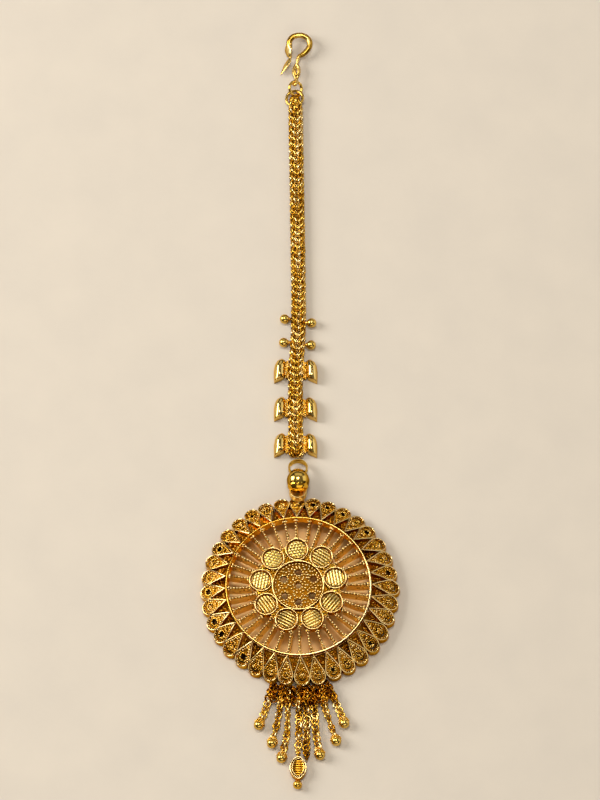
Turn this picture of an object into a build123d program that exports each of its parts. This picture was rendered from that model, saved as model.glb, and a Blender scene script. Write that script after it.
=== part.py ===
from build123d import *
import os
from math import sin, cos, tan, asin, radians, degrees, hypot, atan2

# Maang tikka: a hair hook, a double link chain with leaves, a bead and a domed
# open-work medallion with a link fringe.  It lies face up on z = 0; +Y points
# along the chain to the hook, +Z is the face.  All sizes in millimetres.

# ---------------------------------------------------------------- driving sizes
GAP = 0.05                 # clearance kept between neighbouring pieces

MED_X = -0.10              # medallion centre
MED_Y = -38.54
MED_TOP = 5.75             # height of the petals
TEAR_N = 36                # teardrops round the rim
TEAR_START = -1.5          # first teardrop, degrees clockwise from +Y
TEAR_R = 18.22             # radius to the round ends' centres
TEAR_END_R = 1.63          # outer radius of a round end
TEAR_TIP_R = 14.35         # radius to a teardrop's tip
WALL = 0.28                # rim strip thickness
RING_R = 14.40             # inner ring wall, middle radius
RING_WALL = 0.36
SPOKE_W = 0.55
SPOKE_IN_LONG = 7.7        # inner end of a spoke that runs between two petals
PETAL_N = 9
PETAL_START = -2.0
PETAL_R = 7.5              # radius to the petals' centres
PETAL_OUT_R = 2.35
PETAL_WALL = 0.25
CENTRE_R = 5.2             # rosette wall, outer radius
CENTRE_WALL = 0.34
HOLE_R = 0.66
WINDOWS = [(0, 2.75), (66, 3.30), (128, 3.50), (180, 3.50), (231, 3.50), (294, 3.15)]   # angle, radius
WINDOW_OPEN_R = 0.66

CHAIN_TUBE_R = 0.70        # outer form of a link strand
CHAIN_Z = 0.70
FRINGE_TUBE_R = 0.66
FRINGE_Z = 0.66
LOOP_R = 0.34              # soldered loops that carry the fringe
LOOP_WIRE_R = 0.13
LOOP_Z = 0.80

BEAD_R = 2.28
BEAD_Y = -15.48
BALL_R = 0.95              # balls at the chain's edges
END_BALL_R = 1.00          # balls at the fringe's ends

# dome of the medallion: radius, height of its face
DOME_TOP = [(0.0, 5.60), (14.30, 5.12), (16.2, 4.15), (18.2, 2.75), (20.1, 1.25)]

# line of the double chain: x, y of its middle, half spacing of the two strands
CHAIN_ROUTE = [
    ("x", "y", "half"),
    (-0.62, 63.75, 0.74),
    (-0.36, 45.00, 0.74),
    (-0.04, 23.50, 0.76),
    (-0.20, 14.20, 0.77),
    (-0.60, 8.40, 0.77),
    (-0.68, 0.20, 0.77),
    (-0.52, -9.90, 0.76),
]

# polished balls at the chain's edges: name, x, y
SIDE_BALLS = [
    ("side_ball_1", -2.84, 19.15),
    ("side_ball_2", 2.56, 18.34),
    ("side_ball_3", -3.02, 14.18),
    ("side_ball_4", 2.46, 13.67),
]

# leaves: name, outer edge x, top y, side (-1 left, +1 right)
LEAVES = [
    ("leaf_left_1", -4.98, 10.74, -1),
    ("leaf_right_1", 3.74, 10.60, 1),
    ("leaf_left_2", -4.98, 2.66, -1),
    ("leaf_right_2", 3.68, 2.60, 1),
    ("leaf_left_3", -4.96, -5.00, -1),
    ("leaf_right_3", 3.68, -5.04, 1),
]
LEAF_LEN = 4.95            # top to tip
LEAF_W = 2.30              # polished part
STRIP_W = 0.42             # granulated strip beside it
LEAF_H = 2.1

# fringe strands: name, then four points of the strand from the rim down
FRINGE = [
    ("name", "x1", "y1", "x2", "y2", "x3", "y3", "x4", "y4"),
    ("fringe_1", -5.36, -58.69, -6.20, -61.60, -6.80, -63.60, -7.48, -65.35),
    ("fringe_2", -3.72, -59.08, -3.74, -62.21, -4.24, -65.59, -5.10, -69.15),
    ("fringe_3", -2.24, -59.30, -2.18, -64.00, -2.40, -68.40, -3.16, -72.20),
    ("fringe_4", 0.00, -59.43, 0.08, -64.60, -0.02, -69.00, -0.20, -72.60),
    ("fringe_5", 1.52, -59.37, 1.66, -64.60, 1.52, -69.60, 1.54, -73.40),
    ("fringe_6", 2.96, -59.21, 3.20, -63.60, 3.42, -68.00, 3.98, -71.55),
    ("fringe_7", 4.48, -58.92, 5.20, -62.60, 6.20, -65.80, 7.16, -68.65),
    ("fringe_8", 6.04, -58.49, 7.06, -60.95, 8.00, -63.10, 8.72, -64.95),
]
# end balls of the fringe: name, x, y
FRINGE_BALLS = [
    ("fringe_ball_1", -7.96, -66.39, "fringe_1"),
    ("fringe_ball_2", -5.36, -70.24, "fringe_2"),
    ("fringe_ball_3", -3.46, -73.31, "fringe_3"),
    ("fringe_ball_6", 4.20, -72.68, "fringe_6"),
    ("fringe_ball_7", 7.44, -69.75, "fringe_7"),
    ("fringe_ball_8", 9.06, -66.05, "fringe_8"),
]

# hook wire, from the eye round the loop to the tip: x, y, z
HOOK_ROUTE = [
    (-0.28, 72.45, 1.25),
    (-0.20, 73.75, 1.30),
    (0.02, 74.92, 1.36),
    (0.98, 75.44, 1.46),
    (1.94, 76.54, 1.55),
    (2.22, 77.56, 1.60),
    (1.90, 78.50, 1.62),
    (0.98, 79.16, 1.62),
    (-0.12, 79.27, 1.62),
    (-1.18, 78.96, 1.60),
    (-1.84, 78.14, 1.55),
    (-1.94, 77.35, 1.48),
    (-2.06, 76.35, 1.36),
    (-1.92, 75.35, 1.24),
    (-1.76, 74.70, 1.18),
    (-2.02, 73.95, 1.08),
    (-2.55, 73.10, 0.95),
    (-3.10, 72.15, 0.78),
    (-3.60, 71.35, 0.62),
]
HOOK_WIRE_R = 0.45
EYE_WIRE_R = 0.27


# ---------------------------------------------------------------- helpers
def around(radius, angle_deg, cx=MED_X, cy=MED_Y):
    """Point on a circle, angle clockwise from +Y."""
    a = radians(angle_deg)
    return cx + radius * sin(a), cy + radius * cos(a)


def tube(points, radius, radii=None):
    """Straight runs joined by tangent arcs, swept with a round section."""
    pts = [Vector(*p) for p in points]
    if radii is None:
        radii = []
        for a, b, c in zip(pts, pts[1:], pts[2:]):
            turn = (b - a).get_angle(c - b)
            short = min((b - a).length, (c - b).length)
            radii.append(0.45 * short / tan(radians(turn / 2)))
    path = FilletPolyline(*pts, radius=radii)
    start = Plane(origin=pts[0], z_dir=(pts[1] - pts[0]).normalized())
    solid = sweep(start * Circle(radius), path=path)
    want = 3.14159265 * radius ** 2 * path.length
    return solid, path.length, solid.volume / want, min(radii)


def link(half_len, half_wid, wire_r):
    """Closed oval link in the XY plane, long way along Y."""
    parts = None
    straight = half_len - half_wid
    for sgn in (1, -1):
        sec = Plane(origin=(half_wid, sgn * straight, 0), x_dir=(1, 0, 0), z_dir=(0, 1, 0)) * Circle(wire_r)
        end = revolve(sec, axis=Axis((0, sgn * straight, 0), (0, 0, sgn)), revolution_arc=180)
        parts = end if parts is None else parts + end
    if straight > 0.001:
        for x in (half_wid, -half_wid):
            parts += Location((x, 0, 0)) * Rotation(90, 0, 0) * Cylinder(wire_r, 2 * straight)
    return parts


def place(shape, at, roll=0.0, pitch=0.0, yaw=0.0):
    """roll about Y, then pitch about X, then yaw about Z."""
    return Location(at) * Rotation(0, 0, yaw) * Rotation(pitch, 0, 0) * Rotation(0, roll, 0) * shape


def teardrop(end_r, tip_r, centre_r=TEAR_R):
    """Face of a teardrop, tip towards the origin, round end outwards along +Y."""
    d = centre_r - tip_r
    h = asin(end_r / d)
    tx, ty = end_r * cos(h), centre_r - end_r * sin(h)
    return Polygon((0, tip_r), (tx, ty), (-tx, ty), align=None) + Pos(0, centre_r) * Circle(end_r)


def dome_slab(drop, bottom):
    """Body between the dome face lowered by `drop` and a lower outline
    given as radius, height from the rim inwards to the axis."""
    top = [(r, z - drop) for r, z in DOME_TOP]
    pts = top + [(r, z) for r, z in bottom]
    face = make_face(Polyline(*[(r, 0, z) for r, z in pts], (top[0][0], 0, top[0][1])))
    return revolve(face, axis=Axis.Z)


def save(shape, name):
    solids = shape.solids()
    if len(solids) != 1:
        print("NOTE", name, len(solids), "solids")
    out = solids[0] if len(solids) == 1 else shape
    export_step(out, f"parts/{name}.step")
    print(f"{name:16s} {out.volume:9.3f} mm3")


os.makedirs("parts", exist_ok=True)

# ---------------------------------------------------------------- medallion
drop_outer = teardrop(TEAR_END_R, TEAR_TIP_R)
half = asin(TEAR_END_R / (TEAR_R - TEAR_TIP_R))
drop_inner = teardrop(TEAR_END_R - WALL, TEAR_TIP_R + WALL / sin(half))
outers, inners = Sketch(), Sketch()
tear_rots = [Rotation(0, 0, -(TEAR_START + i * 360 / TEAR_N)) for i in range(TEAR_N)]
outers = Sketch() + [r * drop_outer for r in tear_rots]
inners = Sketch() + [r * drop_inner for r in tear_rots]
ring = Circle(RING_R + RING_WALL / 2) - Circle(RING_R - RING_WALL / 2)
rim_walls = (outers - inners) + ring

wall_slab = dome_slab(0.0, [(20.1, 0.0), (17.0, 0.0), (14.9, 1.6), (14.0, 2.3), (0.0, 3.2)])
fill_slab = dome_slab(0.65, [(20.1, 0.10), (18.2, 1.60), (16.2, 2.95), (14.3, 3.75), (0.0, 4.2)])
rim = extrude(rim_walls, 7) & wall_slab
floors = extrude(inners, 7) & fill_slab
gap_sheet = (Circle(16.7) - Circle(14.95)) - outers
floors += extrude(gap_sheet, 7) & dome_slab(0.95, [(20.1, 0.05), (18.2, 1.45), (16.2, 2.95), (14.3, 3.95), (0.0, 4.2)])

spoke_lines = Sketch()
spoke_list = []
for i in range(TEAR_N):
    ang = TEAR_START + i * 360 / TEAR_N
    off = (ang - PETAL_START + 20) % 40 - 20          # angle to the nearest petal
    lateral = PETAL_R * sin(radians(abs(off)))
    if lateral < PETAL_OUT_R - 0.1:
        inner = PETAL_R * cos(radians(off)) + (PETAL_OUT_R ** 2 - lateral ** 2) ** 0.5 - 0.08
    else:
        inner = SPOKE_IN_LONG
    length = RING_R - inner
    spoke_list.append(Rotation(0, 0, -ang) * Pos(0, inner + length / 2) * Rectangle(SPOKE_W, length))
spoke_slab = dome_slab(0.25, [(20.1, 2.0), (14.6, 4.15), (0.0, 4.6)])
spokes = extrude(Sketch() + spoke_list, 7) & spoke_slab

plate_z0 = 4.60            # underside of the rosette
petal_pos = [(PETAL_R * sin(radians(PETAL_START + i * 40)), PETAL_R * cos(radians(PETAL_START + i * 40)))
             for i in range(PETAL_N)]
petal_cups = Sketch() + [Pos(x, y) * (Circle(PETAL_OUT_R) - Circle(PETAL_OUT_R - PETAL_WALL)) for x, y in petal_pos]
petal_discs = Sketch() + [Pos(x, y) * Circle(PETAL_OUT_R - PETAL_WALL / 2) for x, y in petal_pos]
bosses = Sketch() + [Pos(*around(SPOKE_IN_LONG, PETAL_START + 20 + i * 40, 0, 0)) * Circle(0.62)
                     for i in range(PETAL_N)]
middle = extrude(Pos(0, 0, plate_z0) * petal_cups, MED_TOP - plate_z0 - 0.1)
middle += extrude(Pos(0, 0, plate_z0) * petal_discs, 0.60)
middle += extrude(Pos(0, 0, plate_z0) * bosses, 0.60)
dome_r = (1.95 ** 2 + 0.42 ** 2) / (2 * 0.42)
cap = Pos(0, 0, MED_TOP - dome_r) * Sphere(dome_r) & Pos(0, 0, 5.1) * Cylinder(1.95, 2, align=(Align.CENTER, Align.CENTER, Align.MIN))
for x, y in petal_pos:
    middle += Pos(x, y, 0) * cap
centre_wall = Circle(CENTRE_R) - Circle(CENTRE_R - CENTRE_WALL)
plate = Circle(CENTRE_R - 0.1) - Circle(HOLE_R)
plate -= Sketch() + [Pos(*around(r, a, 0, 0)) * Circle(WINDOW_OPEN_R) for a, r in WINDOWS]
hole_wall = Circle(HOLE_R + 0.42) - Circle(HOLE_R)
middle += extrude(Pos(0, 0, plate_z0) * centre_wall, MED_TOP - plate_z0)
middle += extrude(Pos(0, 0, plate_z0) * plate, 0.60)
middle += extrude(Pos(0, 0, plate_z0) * hole_wall, 1.00)

medallion = Pos(MED_X, MED_Y, 0) * (rim + floors + spokes + middle)
# small soldered loops under the rim that carry the fringe
for row in FRINGE[1:]:
    top = Vector(row[1], row[2])
    rim_y = MED_Y - ((TEAR_R + TEAR_END_R) ** 2 - (row[1] - MED_X) ** 2) ** 0.5
    loop_y = rim_y - 0.40
    loop = Pos(row[1], loop_y, LOOP_Z) * Rotation(0, 90, 0) * Torus(LOOP_R, LOOP_WIRE_R)
    stub = Pos(row[1], rim_y + 0.45, LOOP_Z) * Rotation(90, 0, 0) * Cylinder(0.17, 1.2)
    medallion += loop + stub
save(medallion, "medallion")

# ---------------------------------------------------------------- chain
rows = CHAIN_ROUTE[1:]
for name, side in (("chain_left", -1), ("chain_right", 1)):
    pts = [(x + side * h, y, CHAIN_Z) for x, y, h in rows]
    solid, length, ratio, rmin = tube(pts, CHAIN_TUBE_R)
    print(f"{name} length {length:.1f} mm, volume / (section x length) {ratio:.4f}, least radius {rmin:.0f} mm")
    save(solid, name)


def chain_edge(y, side):
    """x of the outer edge of one strand at a given y."""
    for (xa, ya, ha), (xb, yb, hb) in zip(rows, rows[1:]):
        if yb <= y <= ya:
            t = (y - ya) / (yb - ya)
            return xa + t * (xb - xa) + side * (ha + t * (hb - ha) + CHAIN_TUBE_R)
    return side * 1.4


# ---------------------------------------------------------------- side balls
for name, x, y in SIDE_BALLS:
    side = -1 if x < 0 else 1
    reach = chain_edge(y, side) + side * GAP
    stem_len = abs(x - reach)
    stem = Pos((x + reach) / 2, y, BALL_R) * Rotation(0, 90, 0) * Cylinder(0.30, stem_len)
    save(Pos(x, y, BALL_R) * Sphere(BALL_R) + stem, name)

# ---------------------------------------------------------------- leaves
for name, edge_x, top_y, side in LEAVES:
    inner = LEAF_W                                   # local u runs from the outer edge inwards
    outline = Polyline((inner, -LEAF_LEN + 0.75), (inner, -0.35))
    crown = ThreePointArc((inner, -0.35), (inner * 0.60, -0.02), (0.12, -1.55))
    flank = ThreePointArc((0.12, -1.55), (-0.02, -2.6), (0.06, -LEAF_LEN))
    foot = ThreePointArc((0.06, -LEAF_LEN), (1.25, -LEAF_LEN + 0.42), (inner, -LEAF_LEN + 0.75))
    face = make_face(outline + crown + flank + foot)
    if side > 0:
        face = mirror(face, about=Plane.YZ)
    body = extrude(face, LEAF_H)
    if body.bounding_box().min.Z < -0.01:
        body = Pos(0, 0, LEAF_H) * body
    round_top = Pos(-side * (inner * 0.55), -LEAF_LEN / 2, LEAF_H - 1.75) * Rotation(90, 0, 0) * Cylinder(1.75, LEAF_LEN + 2)
    body = body & round_top
    strip_c = -side * (inner + STRIP_W / 2 - 0.05)
    strip = Pos(strip_c, -0.55 - 1.75, 0.6) * Box(STRIP_W + 0.1, 3.5, 1.2)
    save(Pos(edge_x, top_y, 0) * (body + strip), name)

# ---------------------------------------------------------------- rings
# name, x, y, z, half length, half width, wire radius, roll, pitch
RINGS = [
    ("top_ring", -0.66, 68.18, 1.04, 1.40, 1.39, 0.27, 30.6, 13.6),
    ("chain_ring", -0.86, 66.085, 0.91, 1.66, 1.65, 0.28, -12.15, -5.9),
]
for name, x, y, z, hl, hw, wr, roll, pitch in RINGS:
    save(place(link(hl, hw, wr), (x, y, z), roll, pitch), name)

# band ring between the chain and the bead
band = Cylinder(1.95, 1.15) - Cylinder(1.66, 2)

# ---------------------------------------------------------------- bead
ball = Pos(-0.14, BEAD_Y, BEAD_R) * Sphere(BEAD_R)
trim = Pos(-0.14, BEAD_Y, BEAD_R) * Box(6, 3.7, 6)
ball = ball & trim
cup_lo = Pos(-0.14, BEAD_Y - 1.80, BEAD_R) * Rotation(90, 0, 0) * Cylinder(1.65, 0.8)
cup_hi = Pos(-0.14, BEAD_Y + 1.80, BEAD_R) * Rotation(90, 0, 0) * Cylinder(1.05, 0.4)
save(ball + cup_lo + cup_hi, "bead")
keep_out = Pos(-0.14, BEAD_Y, BEAD_R) * Sphere(BEAD_R + GAP) + Pos(-0.14, BEAD_Y + 1.85, BEAD_R) * Rotation(90, 0, 0) * Cylinder(1.05 + GAP, 0.4 + 2 * GAP)
save(place(band, (-0.16, -12.60, 1.62), 0, -20) - keep_out, "connector_ring")

# bail: a bent band that rises over the rim, open towards the bead
bail_ring = Cylinder(1.92, 1.2) - Cylinder(1.62, 3)
bail_side = Pos(0, 1.0, 0) * (Box(3.84, 2.0, 1.2) - Box(3.24, 2.1, 2))
bail = (bail_ring & Pos(0, -1.5, 0) * Box(5, 3, 3)) + bail_side
bail_floor = (Cylinder(1.75, 0.3) & Pos(0, -1.5, 0) * Box(5, 3, 3)) + Pos(0, 1.0, 0) * Box(3.5, 2.0, 0.3)
bail += Pos(0, 0, -0.45) * bail_floor
bail = place(bail, (-0.16, -18.15, 2.42), 0, -30)
bail_end = BEAD_Y - 2.2 - GAP
save(bail & Pos(-0.16, bail_end - 2.5, 3.4) * Box(6, 5, 5), "bail")

# ---------------------------------------------------------------- hook
wire, length, ratio, rmin = tube(HOOK_ROUTE, HOOK_WIRE_R)
print(f"hook wire {length:.1f} mm, ratio {ratio:.4f}, least radius {rmin:.2f} mm")
eye = place(link(1.75, 0.70, EYE_WIRE_R), (-0.42, 70.69, 1.30), -62.5, 0)
wrap = Pos(-0.34, 72.60, 1.26) * Rotation(90, 0, 0) * Cylinder(0.58, 0.9)
save(wire + eye + wrap, "hook")

# ---------------------------------------------------------------- fringe
ends = {}
for row in FRINGE[1:]:
    name = row[0]
    pts = [(row[1 + 2 * i], row[2 + 2 * i], FRINGE_Z) for i in range(4)]
    solid, length, ratio, rmin = tube(pts, FRINGE_TUBE_R)
    print(f"{name} length {length:.1f} mm, volume / (section x length) {ratio:.4f}, least radius {rmin:.0f} mm")
    save(solid, name)
    ends[name] = pts[-1]

for name, x, y, strand in FRINGE_BALLS:
    ex, ey, ez = ends[strand]
    c = Vector(x, y, END_BALL_R)
    v = Vector(ex, ey, FRINGE_Z) - c
    neck_len = v.length - GAP
    neck = Plane(origin=c, z_dir=v.normalized()) * Cylinder(0.42, neck_len, align=(Align.CENTER, Align.CENTER, Align.MIN))
    solid = Pos(x, y, END_BALL_R) * Sphere(END_BALL_R) + neck
    # keep clear of the strand's end face
    save(solid, name)

# ---------------------------------------------------------------- drop charm
CH_L, CH_W, CH_H = 4.8, 3.4, 1.7
arc_l = ThreePointArc((0, CH_L / 2), (-CH_W / 2, 0), (0, -CH_L / 2))
arc_r = ThreePointArc((0, -CH_L / 2), (CH_W / 2, 0), (0, CH_L / 2))
lens = make_face(arc_l + arc_r)
inl = ThreePointArc((0, CH_L / 2 - 0.62), (-CH_W / 2 + 0.3, 0), (0, -CH_L / 2 + 0.62))
inr = ThreePointArc((0, -CH_L / 2 + 0.62), (CH_W / 2 - 0.3, 0), (0, CH_L / 2 - 0.62))
lens_in = make_face(inl + inr)


def up(face, h):
    s = extrude(face, h)
    return s if s.bounding_box().min.Z > -0.01 else Pos(0, 0, h) * s


charm = up(lens, CH_H) - Pos(0, 0, CH_H - 0.45) * up(lens_in, 1.0)
charm = Pos(-0.14, -75.42, 0.0) * charm
charm += Pos(-0.24, -78.84, 0.90) * Sphere(0.90)
charm += Pos(-0.20, -77.95, 0.80) * Rotation(90, 0, 0) * Cylinder(0.45, 0.9)
save(charm, "drop_charm")
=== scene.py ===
import math

import bmesh
import bpy
import numpy as np
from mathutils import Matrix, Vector


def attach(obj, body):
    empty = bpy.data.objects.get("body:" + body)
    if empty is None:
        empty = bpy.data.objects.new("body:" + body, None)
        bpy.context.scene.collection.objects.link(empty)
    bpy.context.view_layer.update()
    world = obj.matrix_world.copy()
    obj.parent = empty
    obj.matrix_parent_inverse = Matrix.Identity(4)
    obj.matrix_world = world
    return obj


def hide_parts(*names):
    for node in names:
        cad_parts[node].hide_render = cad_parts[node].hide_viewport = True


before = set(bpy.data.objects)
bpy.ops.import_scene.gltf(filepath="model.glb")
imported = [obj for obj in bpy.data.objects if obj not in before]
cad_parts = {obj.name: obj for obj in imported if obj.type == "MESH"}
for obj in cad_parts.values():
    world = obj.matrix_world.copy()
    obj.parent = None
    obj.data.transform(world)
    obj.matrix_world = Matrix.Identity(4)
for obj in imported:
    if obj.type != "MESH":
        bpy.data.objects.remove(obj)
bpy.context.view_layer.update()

MM = 0.001
RNG = np.random.default_rng(7)
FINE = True

# ---------------------------------------------------------------- sizes, in mm, as in the part
MED_X, MED_Y = -0.10, -38.54
TEAR_N, TEAR_START, TEAR_STEP = 36, -1.5, 10.0
TEAR_R, TEAR_END, TEAR_TIP, WALL = 18.22, 1.63, 14.35, 0.28
RING_R, RING_W = 14.40, 0.30
PETAL_N, PETAL_START, PETAL_R, PETAL_OUT = 9, -2.0, 7.5, 2.35
CENTRE_OUT, CENTRE_WALL, CENTRE_TOP = 5.2, 0.34, 5.75
DOME_R = [0.0, 14.30, 16.2, 18.2, 20.1]
DOME_Z = [5.60, 5.12, 4.15, 2.75, 1.25]
FOOT_R = [0.0, 14.0, 14.9, 17.0]
FOOT_Z = [3.20, 2.30, 1.60, 0.0]

CHAIN_ROUTE = [(-0.62, 63.75, .74), (-0.36, 45.0, .74), (-0.04, 23.5, .76), (-0.20, 14.2, .77),
               (-0.60, 8.4, .77), (-0.68, 0.2, .77), (-0.52, -9.9, .76)]
SIDE_BALLS = [("side_ball_1", -2.84, 19.15), ("side_ball_2", 2.56, 18.34),
              ("side_ball_3", -3.02, 14.18), ("side_ball_4", 2.46, 13.67)]
LEAVES = [("leaf_left_1", -4.98, 10.74, -1), ("leaf_right_1", 3.74, 10.60, 1),
          ("leaf_left_2", -4.98, 2.66, -1), ("leaf_right_2", 3.68, 2.60, 1),
          ("leaf_left_3", -4.96, -5.00, -1), ("leaf_right_3", 3.68, -5.04, 1)]
HOOK_ROUTE = [(-0.26, 74.30, 1.35), (1.30, 75.55, 1.45), (2.55, 76.85, 1.55), (2.05, 78.96, 1.60),
              (0.25, 79.44, 1.60), (-1.75, 78.81, 1.55), (-2.05, 76.60, 1.40), (-1.80, 74.60, 1.20)]
STRANDS = [
    [(-5.36, -58.69), (-6.20, -61.60), (-6.80, -63.60), (-7.48, -65.35)],
    [(-3.72, -59.08), (-3.74, -62.21), (-4.24, -65.59), (-5.10, -69.15)],
    [(-2.24, -59.30), (-2.18, -64.00), (-2.40, -68.40), (-3.16, -72.20)],
    [(0.0, -59.43), (0.08, -64.60), (-0.02, -69.00), (-0.20, -72.60)],
    [(1.52, -59.37), (1.66, -64.60), (1.52, -69.60), (1.54, -73.40)],
    [(2.96, -59.21), (3.20, -63.60), (3.42, -68.00), (3.98, -71.55)],
    [(4.48, -58.92), (5.20, -62.60), (6.20, -65.80), (7.16, -68.65)],
    [(6.04, -58.49), (7.06, -60.95), (8.00, -63.10), (8.72, -64.95)]]
FRINGE_BALLS = [(1, -7.96, -66.39), (2, -5.36, -70.24), (3, -3.46, -73.31),
                (6, 4.20, -72.68), (7, 7.44, -69.75), (8, 9.06, -66.05)]

# ---------------------------------------------------------------- mesh tools


class Geo:
    """Collects vertices (mm), faces and a tone value per vertex."""

    def __init__(self):
        self.v, self.q, self.t, self.a, self.n = [], [], [], [], 0

    def add(self, verts, quads=None, tris=None, tone=0.5):
        verts = np.asarray(verts, float).reshape(-1, 3)
        if quads is not None and len(quads):
            self.q.append(np.asarray(quads, int).reshape(-1, 4) + self.n)
        if tris is not None and len(tris):
            self.t.append(np.asarray(tris, int).reshape(-1, 3) + self.n)
        self.v.append(verts)
        self.a.append(np.broadcast_to(np.asarray(tone, float), (len(verts),)).copy())
        self.n += len(verts)

    def tris(self):
        return 2 * sum(len(q) for q in self.q) + sum(len(t) for t in self.t)


LEAN, LEAN_Z = 0.0787, 5.3   # the medallion walls lean a little: feet towards +X


def build(name, geo, mat, nodes=(), sharp=None):
    verts = np.concatenate(geo.v) * MM
    if nodes == ("medallion",) and name != "fringe_loops":
        verts[:, 0] += LEAN * (LEAN_Z * MM - verts[:, 2])
    quads = np.concatenate(geo.q) if geo.q else np.zeros((0, 4), int)
    tris = np.concatenate(geo.t) if geo.t else np.zeros((0, 3), int)
    me = bpy.data.meshes.new(name)
    me.vertices.add(len(verts))
    me.vertices.foreach_set("co", verts.astype(np.float32).ravel())
    me.loops.add(quads.size + tris.size)
    me.loops.foreach_set("vertex_index", np.concatenate([quads.ravel(), tris.ravel()]).astype(np.int32))
    me.polygons.add(len(quads) + len(tris))
    me.polygons.foreach_set("loop_start", np.concatenate(
        [np.arange(len(quads)) * 4, quads.size + np.arange(len(tris)) * 3]).astype(np.int32))
    me.polygons.foreach_set("use_smooth", np.ones(len(quads) + len(tris), bool))
    me.update(calc_edges=True)
    me.validate()
    at = me.attributes.new("tone", "FLOAT", "POINT")
    at.data.foreach_set("value", np.concatenate(geo.a).astype(np.float32))
    if sharp:
        me.set_sharp_from_angle(angle=math.radians(sharp))
    me.materials.append(mat)
    ob = bpy.data.objects.new(name, me)
    bpy.context.scene.collection.objects.link(ob)
    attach(ob, "root")
    if nodes:
        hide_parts(*nodes)
    print("piece", name, geo.tris())
    return ob


def ico(sub):
    bm = bmesh.new()
    bmesh.ops.create_icosphere(bm, subdivisions=sub, radius=1.0)
    bm.verts.index_update()
    bm.verts.ensure_lookup_table()
    v = np.array([x.co[:] for x in bm.verts])
    f = np.array([[x.index for x in p.verts] for p in bm.faces])
    bm.free()
    return v, f


ICO = {1: ico(1), 2: ico(2), 3: ico(3)}


def beads(geo, centres, radii, tone=0.5, sub=2, squash=0.62, tilt=16.0, lean=None):
    """Small solder grains: slightly flattened balls, each tipped a little its own way."""
    centres = np.asarray(centres, float).reshape(-1, 3)
    n = len(centres)
    if not n:
        return
    v, f = ICO[sub]
    radii = np.broadcast_to(np.asarray(radii, float), (n,))
    turn = RNG.uniform(0, 6.28, n)
    c, s = np.cos(turn), np.sin(turn)
    x = v[None, :, 0] * c[:, None] - v[None, :, 1] * s[:, None]
    y = v[None, :, 0] * s[:, None] + v[None, :, 1] * c[:, None]
    z = np.broadcast_to(v[None, :, 2] * squash, x.shape)
    nx, ny = RNG.normal(0, math.tan(math.radians(tilt)) * 0.6, n), RNG.normal(0, math.tan(math.radians(tilt)) * 0.6, n)
    up = np.stack([nx, ny, np.ones(n)], -1)
    if lean is not None:
        up = up + np.asarray(lean, float)
    ez = unit(up)
    ex = unit(np.cross(np.array([0, 1.0, 0]), ez))
    ey = np.cross(ez, ex)
    pts = x[..., None] * ex[:, None] + y[..., None] * ey[:, None] + z[..., None] * ez[:, None]
    pts = pts * radii[:, None, None] + centres[:, None, :]
    faces = (f[None] + (np.arange(n) * len(v))[:, None, None]).reshape(-1, 3)
    tones = np.repeat(np.broadcast_to(np.asarray(tone, float), (n,)), len(v))
    geo.add(pts.reshape(-1, 3), tris=faces, tone=tones)


def torus_template(major, minor, nu, nv, half=0.0):
    """Ring in the XY plane; half lengthens it along Y by that much each way."""
    u = np.arange(nu) * 2 * math.pi / nu
    w = np.arange(nv) * 2 * math.pi / nv
    cu, su = np.cos(u)[:, None], np.sin(u)[:, None]
    rad = major + minor * np.cos(w)[None]
    x, y = rad * cu, rad * su
    y = y + np.where(su >= 0, half, -half)
    z = np.broadcast_to(minor * np.sin(w)[None], x.shape)
    v = np.stack([x, y, z], -1).reshape(-1, 3)
    i, j = np.meshgrid(np.arange(nu), np.arange(nv), indexing="ij")
    i2, j2 = (i + 1) % nu, (j + 1) % nv
    q = np.stack([i * nv + j, i2 * nv + j, i2 * nv + j2, i * nv + j2], -1).reshape(-1, 4)
    return v, q


def place(v, origin, ex, ey, ez):
    return v[:, :1] * ex + v[:, 1:2] * ey + v[:, 2:3] * ez + np.asarray(origin, float)


def unit(a):
    a = np.asarray(a, float)
    return a / np.maximum(np.linalg.norm(a, axis=-1, keepdims=True), 1e-9)


def spline(points, per, closed=False):
    """Centripetal-like Catmull-Rom through the points."""
    p = np.asarray(points, float)
    if closed:
        p = np.vstack([p[-1], p, p[0], p[1]])
    else:
        p = np.vstack([2 * p[0] - p[1], p, 2 * p[-1] - p[-2]])
    out = []
    for i in range(1, len(p) - 2):
        a, b, c, d = p[i - 1:i + 3]
        for t in np.arange(per) / per:
            out.append(0.5 * ((2 * b) + (c - a) * t + (2 * a - 5 * b + 4 * c - d) * t * t
                              + (3 * b - a - 3 * c + d) * t ** 3))
    if not closed:
        out.append(p[-2])
    return np.array(out)


def walk(points, step, start=0.0):
    """Points at equal steps along a polyline, with tangents."""
    p = np.asarray(points, float)
    seg = np.linalg.norm(np.diff(p, axis=0), axis=1)
    s = np.concatenate([[0], np.cumsum(seg)])
    at = np.arange(start, s[-1], step)
    pos = np.stack([np.interp(at, s, p[:, k]) for k in range(p.shape[1])], -1)
    e = 0.3
    fwd = np.stack([np.interp(np.minimum(at + e, s[-1]), s, p[:, k]) for k in range(p.shape[1])], -1)
    bck = np.stack([np.interp(np.maximum(at - e, 0), s, p[:, k]) for k in range(p.shape[1])], -1)
    return pos, unit(fwd - bck)


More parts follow.
